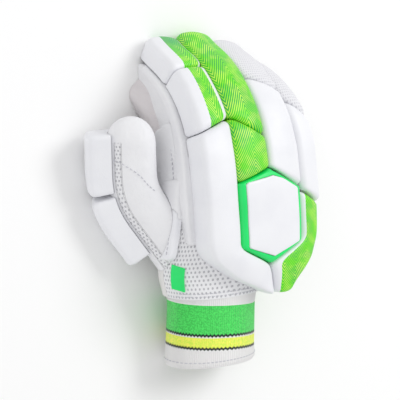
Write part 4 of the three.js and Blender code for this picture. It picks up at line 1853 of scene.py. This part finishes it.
@dataclass
class Rolls:
    """The padded rolls on the fingers and on the back of the hand."""

    glove: Glove
    body: Body
    finishes: Finishes
    shape: PadShape = PadShape(foot=0.8, thickness=14.0, edge=4.0, crown=2.5)
    tip_shape: PadShape = replace(shape, far_corner=11.0, far_edge=9.0)
    split: float = 0.006
    tip_end: float = 1.24
    placed: dict[str, bpy.types.Object] = field(default_factory=dict)

    def pad_rows(self, of: float, rows: Sequence[ColumnRow], length: float) -> list[PadRow]:
        """The rows in millimetres, measured from the column of a ray.

        Args:
            of: The ray that the rows are measured from.
            rows: The rows in shares.
            length: The finger's length.

        Returns:
            The rows in millimetres.
        """
        half, hand = SEWING.seam_gap / 2, self.glove.hand.length
        return [
            PadRow(
                s=row.finger * length if row.hand is None else row.hand * hand,
                left=(row.left - of) * ARCH.pitch + half,
                right=(row.right - of) * ARCH.pitch - half,
                skew=row.skew * ARCH.pitch,
                thickness=row.thick * self.shape.thickness,
            )
            for row in rows
        ]

    def roll(
        self,
        node: str,
        finger: str,
        rows: Sequence[ColumnRow],
        finish: Finish,
        beside: Sequence[str] = (),
    ) -> None:
        """Builds one roll, trimmed to the body and to the rolls beside it.

        Args:
            node: The solid that it stands for.
            finger: The finger that it lies on.
            rows: Its outline in shares.
            finish: Its finish.
            beside: The rolls that it meets.
        """
        home = self.glove.fingers[finger]
        table = self.pad_rows(home.column, rows, home.length)
        shape = self.tip_shape if "tip" in node else self.shape
        piece = BENCH.mesh_object(f"sewn_{node}", pad_rings(home.ray, table, shape))
        self.placed[node] = BENCH.cutter(
            f"{node}_grown", pad_rings(home.ray, table, self.shape, SEWING.seam_gap)
        )
        BENCH.cut(piece, *self.body.supports, *(self.placed[name] for name in beside), BENCH.table)
        BENCH.deliver(piece, finish, node)

    def between(
        self, start: dict[str, float], end: dict[str, float], left: float, width: float = 1.0
    ) -> list[ColumnRow]:
        """A straight stretch of a column."""
        right = left + width
        return [ColumnRow(left, right, **start), ColumnRow(left, right, **end)]

    def build(self) -> None:
        """Every roll."""
        split, tip = self.split, {"finger": self.tip_end}
        index_low = {"finger": 0.17, "skew": 0.22}
        index_high = {"finger": 0.69, "skew": 0.09}
        middle_split = {"finger": 0.145, "skew": -0.34}
        ring_split = {"finger": 0.5, "skew": -0.28}
        little_split = {"finger": 0.26, "skew": -0.34}
        edge_split = {"hand": -0.384, "skew": -0.37}

        def before(place: dict[str, float]) -> dict[str, float]:
            """The same place, a split's width earlier."""
            name = "hand" if "hand" in place else "finger"
            return {**place, name: place[name] - split}

        white, strip = self.finishes.white, self.finishes.strip
        print_all = self.finishes.herringbone
        self.roll(
            "index_base_pad",
            "index",
            [
                ColumnRow(0, 0.18, hand=-1, thick=0.64),
                ColumnRow(-1.14, 0.07, hand=-0.859, thick=0.79),
                ColumnRow(-1.5, -0.05, hand=-0.781 - split, thick=0.89),
                ColumnRow(-1.82, -0.5, hand=-0.727, thick=0.96),
                ColumnRow(-1.96, -1, hand=-0.66),
                ColumnRow(-2, -1, hand=-0.586),
                ColumnRow(-2, -1, **before(index_low)),
            ],
            white,
        )
        middle = self.between(index_low, before(index_high), -2)
        self.roll("index_mid_pad", "index", middle, strip)
        self.roll(
            "index_tip_pad",
            "index",
            self.between(index_high, tip, -2),
            self.finishes.tip_strip,
        )
        middle_start = {"hand": -0.195 + split, "skew": 0.28}
        self.roll(
            "middle_mid_pad",
            "middle",
            self.between(middle_start, before(middle_split), -1),
            print_all,
            ("index_base_pad", "index_mid_pad"),
        )
        self.roll(
            "middle_tip_pad",
            "middle",
            self.between(middle_split, tip, -1),
            print_all,
            ("index_mid_pad", "index_tip_pad"),
        )
        ring_start = {"hand": -0.233 + split, "skew": -0.53}
        self.roll(
            "ring_mid_pad",
            "ring",
            self.between(ring_start, before(ring_split), 0),
            white,
            ("middle_mid_pad", "middle_tip_pad"),
        )
        self.roll(
            "ring_tip_pad",
            "ring",
            self.between(ring_split, tip, 0),
            self.finishes.fine_mesh,
            ("middle_tip_pad",),
        )
        self.roll(
            "little_base_pad",
            "little",
            self.between(edge_split, before(little_split), 1, 0.66),
            white,
            ("ring_mid_pad",),
        )
        self.roll(
            "little_tip_pad",
            "little",
            self.between(little_split, tip, 1, 0.66),
            self.finishes.fine_mesh,
            ("ring_mid_pad", "ring_tip_pad"),
        )
        self.roll(
            "edge_pad",
            "little",
            [
                ColumnRow(0.2, 0.7, hand=-1, thick=0.64),
                ColumnRow(0.14, 0.88, hand=-0.917, thick=0.79),
                ColumnRow(0.08, 1.14, hand=-0.851, thick=0.86),
                ColumnRow(-0.05, 1.38, hand=-0.781, thick=0.89),
                ColumnRow(0.95, 1.5, hand=-0.66, thick=0.93),
                ColumnRow(0.95, 1.58, hand=-0.384 - split, skew=-0.37, thick=0.93),
            ],
            self.finishes.edge_patch,
        )


@dataclass
class Boss:
    """The raised hexagon on the back of the hand: a green block with a white plate in it."""

    glove: Glove
    body: Body
    rolls: Rolls
    finishes: Finishes
    thickness: float = 15.0
    plate_inset: float = 5.5
    plate_thickness: float = 4.0
    plate_rise: float = 1.5
    outline: tuple[ColumnRow, ...] = (
        ColumnRow(-0.05, -0.05, hand=-0.781),
        ColumnRow(-1, 0.95, hand=-0.66),
        ColumnRow(-1, 0.95, hand=-0.309),
        ColumnRow(-1, 0.5, hand=-0.233),
        ColumnRow(0, 0, hand=-0.156),
    )

    def ground(self) -> Blanket:
        """The back of the hand under the boss."""
        limb = self.glove.hand.column_limb(self.glove.cuff, 0.0)
        return Blanket.over(limb.s, WIDE, limb.place, limb.skin_height, 4.0)

    def rows(self, inset: float) -> list[PadRow]:
        """The outline drawn in by an inset.

        Args:
            inset: How far the outline is drawn in.

        Returns:
            The rows.
        """
        rows = self.rolls.pad_rows(0, self.outline, 0)
        made = []
        for i, row in enumerate(rows):
            point = i in (0, len(rows) - 1)
            inward = -SEWING.seam_gap if point else inset
            along = {0: inset, len(rows) - 1: -inset}.get(i, 0.0)
            made.append(PadRow(row.s + along, row.left + inward, row.right - inward))
        return made

    def plate_form(self, ground: Blanket, inset: float, lift: float, thickness: float) -> Rings:
        """The plate's form, or the socket that it sits in.

        Args:
            ground: The ground of the boss.
            inset: How far the outline is drawn in.
            lift: How far it stands up.
            thickness: Its thickness.

        Returns:
            The rings.
        """
        top = self.thickness + self.plate_rise
        skin = float(ground_depth(ground, np.array(-0.4 * self.glove.hand.length)))
        shape = PadShape(
            foot=(skin + top - self.plate_thickness + lift) / skin,
            thickness=thickness,
            edge=1.2,
            crown=1.0,
            corner=0.01,
            ease=0.0,
        )
        return pad_rings(ground, self.rows(inset), shape)

    def build(self) -> None:
        """The block and the plate."""
        ground = self.ground()
        shape = PadShape(
            foot=0.8, thickness=self.thickness, edge=5.0, crown=1.0, corner=0.01, ease=0.0
        )
        top = self.thickness + self.plate_rise
        block = BENCH.mesh_object("sewn_boss_block", pad_rings(ground, self.rows(0), shape))
        socket = BENCH.cutter(
            "boss_socket",
            self.plate_form(ground, self.plate_inset - SEWING.seam_gap, -SEWING.seam_gap, 2 * top),
        )
        BENCH.cut(block, socket, *self.body.supports)
        BENCH.deliver(block, self.finishes.green, "boss_block")
        form = self.plate_form(ground, self.plate_inset, 0, top)
        plate = BENCH.mesh_object("sewn_boss_plate", form)
        BENCH.deliver(plate, self.finishes.white, "boss_plate")


def flank_ground(limb: Limb, girth: float, s: Array) -> Blanket:
    """The ground on a limb's skin round a line at a girth angle from its crest, in degrees.

    Args:
        limb: The limb.
        girth: Degrees from the crest.
        s: Places along the limb.

    Returns:
        The ground.
    """
    angle = math.radians(90 - girth)
    centre = limb.girth_point(s, np.full_like(s, angle))
    up = limb.outward(s, np.full_like(s, angle))
    up = up * np.sign((up * (centre - limb.sampled("centre", s))).sum(-1, keepdims=True))
    ahead = np.gradient(limb.sampled("centre", s), axis=0)
    side = unit(np.cross(unit(ahead), up))

    def place(at: Array, across: Array, above: Array) -> Array:
        """The point on the flat ground there."""
        here, aside, out = (on_line(at, s, line) for line in (centre, side, up))
        return here + aside * across[..., None] + out * above[..., None]

    return Blanket.over(s, NARROW, place, np.zeros_like, 3.0)


@dataclass
class SidePieces:
    """The flat pieces on the index finger's side and at the wrist."""

    glove: Glove
    body: Body
    rolls: Rolls
    finishes: Finishes
    grown: dict[str, bpy.types.Object] = field(default_factory=dict)
    edges: dict[str, tuple[Blanket, list[PadRow], PadShape]] = field(default_factory=dict)

    def clearance(self) -> list[bpy.types.Object]:
        """What the side pieces are trimmed to."""
        index = self.glove.fingers["index"]
        ends = [ColumnRow(-2, -1, hand=-0.98), ColumnRow(-2, -1, finger=0.9)]
        rows = self.rolls.pad_rows(index.column, ends, index.length)
        wide = [PadRow(row.s, row.left - 2 * SEWING.seam_gap, row.right) for row in rows]
        shape = replace(self.rolls.shape, foot=0.76)
        padding = BENCH.cutter("index_padding", pad_rings(index.ray, wide, shape))
        return [*self.body.supports, self.body.thumb_grown, padding]

    def piece(
        self,
        node: str,
        ground: Blanket,
        rows: list[PadRow],
        shape: PadShape,
        finish: Finish,
        clear: list[bpy.types.Object],
        fill: float | None = None,
    ) -> None:
        """One side piece.

        Args:
            node: The solid that it stands for.
            ground: The ground that it is sewn to.
            rows: Its outline.
            shape: Its padding.
            finish: Its finish.
            clear: The forms that it is cut by.
            fill: How full of padding it is; not used.
        """
        made = BENCH.mesh_object(f"sewn_{node}", pad_rings(ground, rows, shape))
        gap = SEWING.seam_gap
        self.grown[node] = BENCH.cutter(f"{node}_grown", pad_rings(ground, rows, shape, gap))
        self.edges[node] = (ground, rows, shape)
        BENCH.cut(made, *clear, BENCH.table)
        BENCH.deliver(made, finish, node)

    def trim(
        self,
        name: str,
        ground: Blanket,
        rows: list[PadRow],
        shape: PadShape,
        finish: Finish,
        clear: list[bpy.types.Object],
    ) -> None:
        """A piece of trim that the solids don't hold.

        Args:
            name: The trim's name.
            ground: The ground that it is sewn to.
            rows: Its outline.
            shape: Its padding.
            finish: Its finish.
            clear: The forms that it is cut by.
        """
        made = BENCH.mesh_object(name, pad_rings(ground, rows, shape))
        BENCH.cut(made, *clear, BENCH.table)
        BENCH.deliver(made, finish)

    def build(self) -> None:
        """The side bar, the flex panel, their trim, the wrist tag and the cuff's tab."""
        clear = self.clearance()
        hand, length = self.glove.hand_limb, self.glove.hand.length
        index = self.glove.fingers["index"]
        s = np.arange(-4, length + 4, 1.0)
        self.piece(
            "side_bar",
            flank_ground(hand, -90, s),
            [PadRow(share * length, -15, 13) for share in (0.28, 0.64)],
            PadShape(foot=0, thickness=6, edge=2.5, crown=0.8, corner=6.0),
            self.finishes.white,
            clear,
            fill=0.8,
        )
        reach = np.arange(-0.7 * index.length, 1.3 * index.length, 1.0)
        self.piece(
            "flex_panel",
            flank_ground(index.limb, -82, reach),
            [
                PadRow(-0.46 * index.length, -25, 1),
                PadRow(-0.4 * index.length, -26, 4),
                PadRow(0.32 * index.length, -24, 4),
            ],
            PadShape(foot=0, thickness=7.5, edge=2.6, crown=1.0, corner=5.0, swell=0.8),
            self.finishes.soft,
            clear,
            fill=0.5,
        )
        self.trim(
            "side_strap",
            flank_ground(hand, -86, s),
            [
                PadRow(0.56 * length, -15, 9),
                PadRow(0.68 * length, -13, 7),
                PadRow(0.84 * length, -16, 9),
            ],
            PadShape(foot=0, thickness=6.4, edge=3.0, crown=0.8, corner=2.0, swell=0.8),
            self.finishes.soft,
            [*clear, self.grown["side_bar"], self.grown["flex_panel"]],
        )
        self.trim(
            "index_side_band",
            flank_ground(index.limb, -88, reach),
            [PadRow(0.3 * index.length, -13, 8), PadRow(1.16 * index.length, -10, 9)],
            PadShape(
                foot=0, thickness=5.0, edge=2.4, crown=0.8, corner=3.0, far_corner=8.0, swell=0.8
            ),
            self.finishes.soft,
            clear,
        )
        self.trim(
            "index_gusset",
            flank_ground(index.limb, -132, reach),
            [
                PadRow(-0.12 * index.length, -8, 7, thickness=7.0),
                PadRow(0.2 * index.length, -8, 8, thickness=9.5),
                PadRow(0.55 * index.length, -9, 10, thickness=12.0),
                PadRow(0.9 * index.length, -9, 12, thickness=15.5),
                PadRow(1.27 * index.length, -9, 13, thickness=18.0),
            ],
            PadShape(
                foot=0,
                thickness=10.5,
                edge=6.0,
                crown=1.5,
                corner=5.0,
                far_corner=7.0,
                far_edge=7.0,
            ),
            self.finishes.fabric,
            self.body.supports,
        )
        self.trim(
            "side_welt",
            index.ray,
            [
                PadRow(-0.62 * length, -21.5, -9, thickness=-4),
                PadRow(-0.3 * length, -22.5, -9, thickness=-5),
                PadRow(0.2 * index.length, -21.0, -9, thickness=-5),
                PadRow(1.04 * index.length, -18.5, -9, thickness=-4),
            ],
            PadShape(foot=0.42, thickness=-5, edge=2.4, crown=0, corner=4.0),
            self.finishes.soft,
            [*self.body.supports, self.body.thumb_grown],
        )
        little = self.glove.fingers["little"]
        self.trim(
            "little_side_welt",
            little.ray,
            [
                PadRow(-0.42 * length, 6.5, 15.4, thickness=-2),
                PadRow(0.0, 6.5, 16.2, thickness=-1.5),
                PadRow(0.35 * little.length, 6.5, 15.4, thickness=-1.5),
                PadRow(0.75 * little.length, 6.5, 13.8, thickness=-2),
            ],
            PadShape(foot=0.3, thickness=-2, edge=3.6, crown=0, corner=4.0),
            self.finishes.soft,
            self.body.supports,
        )
        self.piece(
            "wrist_tag",
            flank_ground(hand, -66, s),
            [PadRow(share * length, -5.5, 5.5) for share in (0.07, 0.24)],
            PadShape(foot=0, thickness=1.2, edge=0.4, crown=0, corner=0.5, ease=0),
            self.finishes.green,
            clear,
        )
        cuff, gap = self.glove.cuff, SEWING.seam_gap
        around = np.linspace(-gap, cuff.length + gap, 30)
        grown = BENCH.cutter(
            "cuff_grown",
            tube_form(around, tube_rings(self.glove.cuff_limb, around, SEWING.sides, gap)),
        )
        self.piece(
            "cuff_tab",
            flank_ground(self.glove.cuff_limb, 95, np.arange(-4, cuff.length + 4, 1.0)),
            [PadRow(share * cuff.length, -6, 6) for share in (0.12, 0.36)],
            PadShape(foot=0, thickness=2.2, edge=0.6, crown=0, corner=0.8, ease=0),
            self.finishes.towel,
            [grown],
        )


@dataclass
class ThumbGuards:
    """The two padded guards on the thumb's back."""

    glove: Glove
    body: Body
    finishes: Finishes

    def build(self) -> None:
        """Both guards."""
        start, end = GUARD.ends
        ground = straight_ground(self.glove.thumb_limb)
        length = self.glove.thumb.length
        for node, low, high in (
            ("thumb_base_guard", start, GUARD.split - GUARD.opening),
            ("thumb_tip_guard", GUARD.split + GUARD.opening, end),
        ):
            rings = pad_rings(ground, GUARD.rows(low, high, length), GUARD.shape)
            form = BENCH.mesh_object(f"sewn_{node}", rings)
            BENCH.cut(form, self.body.hand_grown, self.body.thumb_grown, BENCH.table)
            BENCH.deliver(form, self.finishes.white, node)


@dataclass
class Stitching:
    """Rows of stitches, each a small bead of thread that lies on the leather."""

    glove: Glove
    sides: SidePieces
    finishes: Finishes
    stitch: float = 2.4
    pitch: float = 3.6
    radius: float = 0.42
    facets: int = 6
    ends: tuple[float, ...] = (-1, -0.7, 0.7, 1.0)
    girth: tuple[float, ...] = (0.35, 1, 1, 0.35)
    sharp: float = 80.0

    def along(self, path: Array, out: Array) -> tuple[Array, Array, Array]:
        """Places, directions and outward directions of the stitches along a path.

        Args:
            path: The points of the seam.
            out: The outward direction at each.

        Returns:
            A row for each stitch.
        """
        run = np.concatenate([[0], np.cumsum(np.linalg.norm(np.diff(path, axis=0), axis=1))])
        at = np.arange(self.pitch / 2, run[-1], self.pitch)
        place = on_line(at, run, path)
        ahead = on_line(at + 0.5, run, path)
        return place, unit(ahead - place + 1e-9), unit(on_line(at, run, out))

    def sew(self, name: str, runs: Sequence[tuple[Array, Array]]) -> None:
        """One object with the stitches of several paths.

        Args:
            name: The object's name.
            runs: The seams.
        """
        count = self.facets
        turns = np.arange(count) / count * math.tau
        ends = np.array(self.ends) * self.stitch / 2
        girth = np.array(self.girth) * self.radius
        verts: list[Array] = []
        faces: list[tuple[int, ...]] = []
        for path, out in runs:
            for place, ahead, outward in zip(*self.along(path, out)):
                side = np.cross(ahead, outward)
                base = len(verts)
                for reach, size in zip(ends, girth):
                    hub = place + ahead * reach + outward * self.radius * 0.4
                    for turn in turns:
                        spoke = side * math.cos(turn) + outward * math.sin(turn)
                        verts.append(hub + spoke * size)
                last = base + (len(ends) - 1) * count
                for low in range(base, last, count):
                    high = low + count
                    for i in range(count):
                        j = (i + 1) % count
                        faces.append((low + i, low + j, high + j, high + i))
                faces.append(tuple(base + i for i in range(count))[::-1])
                faces.append(tuple(last + i for i in range(count)))
        piece = BENCH.new_object(name, verts, faces)
        BENCH.turn_outwards(piece)
        BENCH.deliver(piece, self.finishes.thread, sharp=self.sharp)

    def thumb_path(self, shares: Sequence[float], degrees: Sequence[float]) -> tuple[Array, Array]:
        """A seam over the thumb stall through shares of its length and girth angles.

        Args:
            shares: Shares of the thumb's length.
            degrees: Girth angles.

        Returns:
            The points and their outward directions.
        """
        limb, length = self.glove.thumb_limb, self.glove.thumb.length
        key = np.linspace(0, 1, len(shares))
        fine = np.linspace(0, 1, 60)
        s = np.interp(fine, key, shares) * length
        angle = np.radians(np.interp(fine, key, degrees))
        path = limb.girth_point(s, angle)
        out = path - limb.sampled("centre", s)
        return path, unit(out)

    def edge_path(self, node: str, inset: float, low: float, high: float) -> tuple[Array, Array]:
        """A seam along the upper edge of a side piece, between two shares of its length.

        Args:
            node: The side piece.
            inset: How far inside its edge.
            low: Where the seam begins.
            high: Where it ends.

        Returns:
            The points and their outward directions.
        """
        ground, rows, shape = self.sides.edges[node]
        key = [row.s for row in rows]
        s = np.linspace(mixed(key[0], key[-1], low), mixed(key[0], key[-1], high), 80)
        x = np.interp(s, key, [row.right for row in rows]) - shape.edge - inset
        z = np.full_like(s, shape.thickness + 0.3 * shape.crown)
        path = ground.place(s, x, z)
        return path, unit(ground.place(s, x, z + 1) - path)

    def ring_path(self, limb: Limb, s: float, low: float, high: float) -> tuple[Array, Array]:
        """A seam round a limb between two girth angles in degrees.

        Args:
            limb: The limb.
            s: The place along it.
            low: Where the seam begins.
            high: Where it ends.

        Returns:
            The points and their outward directions.
        """
        angle = np.radians(np.linspace(low, high, 160))
        place = np.full_like(angle, s)
        path = limb.girth_point(place, angle)
        return path, unit(path - limb.sampled("centre", place))

    def build(self) -> None:
        """The thumb's slanting seam, the wrist's two rows, the side pieces' seams and the hem."""
        shares = (0.757, 0.742, 0.709, 0.643, 0.566, 0.5)
        self.sew("thumb_seam", [self.thumb_path(shares, (48, 24, 5, -16, -33, -48))])
        hand, cuff = self.glove.hand_limb, self.glove.cuff_limb
        self.sew("wrist_seam", [self.ring_path(hand, s, 20, 160) for s in (2.2, 4.6)])
        bar = self.edge_path("side_bar", 2.2, 0.1, 0.9)
        flex = self.edge_path("flex_panel", 2.2, 0.06, 0.94)
        self.sew("side_seams", [bar, flex])
        self.sew("cuff_hem", [self.ring_path(cuff, 5.0, -25, 205)])


@dataclass(frozen=True)
class Lamp:
    """A soft square light: its place and size in metres, and its power in watts."""

    name: str
    place: tuple[float, float, float]
    size: float
    power: float


@dataclass(frozen=True)
class Studio:
    """The pale floor, the soft lights and the camera."""

    tilt: float = 38.0
    aim: tuple[float, float, float] = (-10.15, 121.7, 23.7)
    distance: float = 1250.0
    view_width: float = 320.0
    sensor: float = 36.0
    clip: tuple[float, float] = (0.05, 20.0)
    floor_reach: float = 6000.0
    floor_drop: float = 0.0004
    floor_tones: tuple[float, float] = (0.93, 0.95)
    air: float = 0.74
    lamps: tuple[Lamp, ...] = (
        Lamp("key_light", (0.9, 0.9, 1.5), 1.0, 14.0),
        Lamp("fill_light", (-1.5, -0.2, 1.0), 1.4, 4.0),
    )

    def camera(self) -> None:
        """The camera above the thumb's side."""
        angle = math.radians(self.tilt)
        back = Vector((-math.sin(angle), 0, math.cos(angle)))
        right = Vector((math.cos(angle), 0, math.sin(angle)))
        up = Vector((0, 1, 0))
        data = bpy.data.cameras.new("camera")
        data.sensor_width = self.sensor
        data.lens = self.sensor * self.distance / self.view_width
        data.clip_start, data.clip_end = self.clip
        camera = bpy.data.objects.new("camera", data)
        place = (Vector(self.aim) + back * self.distance) * METRE
        turned = Matrix((right, up, back)).transposed().to_4x4()
        camera.matrix_world = Matrix.Translation(place) @ turned
        bpy.context.scene.collection.objects.link(camera)
        bpy.context.scene.camera = camera

    def floor(self) -> None:
        """A wide pale floor."""
        corner = np.array([[-1, -1, 0], [1, -1, 0], [1, 1, 0], [-1, 1, 0]]) * self.floor_reach
        floor = BENCH.new_object("floor", corner, [(0, 1, 2, 3)])
        floor.location.z = -self.floor_drop
        tree = Tree("pale_floor")
        dark, light = ((tone,) * 3 for tone in self.floor_tones)
        colour = tree.mix(tree.noise(400.0), dark, light)
        floor.data.materials.append(tree.surface(colour, 0.9, None, specular=0.1))

    def hang(self, lamp: Lamp) -> None:
        """One lamp, which faces the glove.

        Args:
            lamp: The lamp.
        """
        data = bpy.data.lights.new(lamp.name, "AREA")
        data.size, data.energy = lamp.size, lamp.power
        light = bpy.data.objects.new(lamp.name, data)
        light.location = lamp.place
        aim = Vector(self.aim) * METRE
        light.rotation_euler = (light.location - aim).to_track_quat("Z", "Y").to_euler()
        bpy.context.scene.collection.objects.link(light)

    def build(self) -> None:
        """The whole stage."""
        self.camera()
        self.floor()
        for lamp in self.lamps:
            self.hang(lamp)
        world = bpy.data.worlds.new("studio_air")
        world.use_nodes = True
        background = world.node_tree.nodes["Background"].inputs
        background["Color"].default_value = (1, 1, 1, 1)
        background["Strength"].default_value = self.air
        bpy.context.scene.world = world
        bpy.context.scene.view_settings.view_transform = "Standard"


def corners(box: tuple[Vector, Vector]) -> list[list[float]]:
    """A box as plain lists."""
    return [list(corner) for corner in box]


def main() -> None:
    """Builds the glove on the frame and reports its pieces."""
    logging.basicConfig(level=logging.INFO, format="%(message)s")
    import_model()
    finishes = Finishes()
    glove = Glove()
    body = Body(glove, finishes)
    body.build_cuff()
    body.build_hand()
    body.build_stalls()
    rolls = Rolls(glove, body, finishes)
    rolls.build()
    Boss(glove, body, rolls, finishes).build()
    sides = SidePieces(glove, body, rolls, finishes)
    sides.build()
    ThumbGuards(glove, body, finishes).build()
    Stitching(glove, sides, finishes).build()
    BENCH.clear()
    Studio().build()


if __name__ == "__main__":
    main()
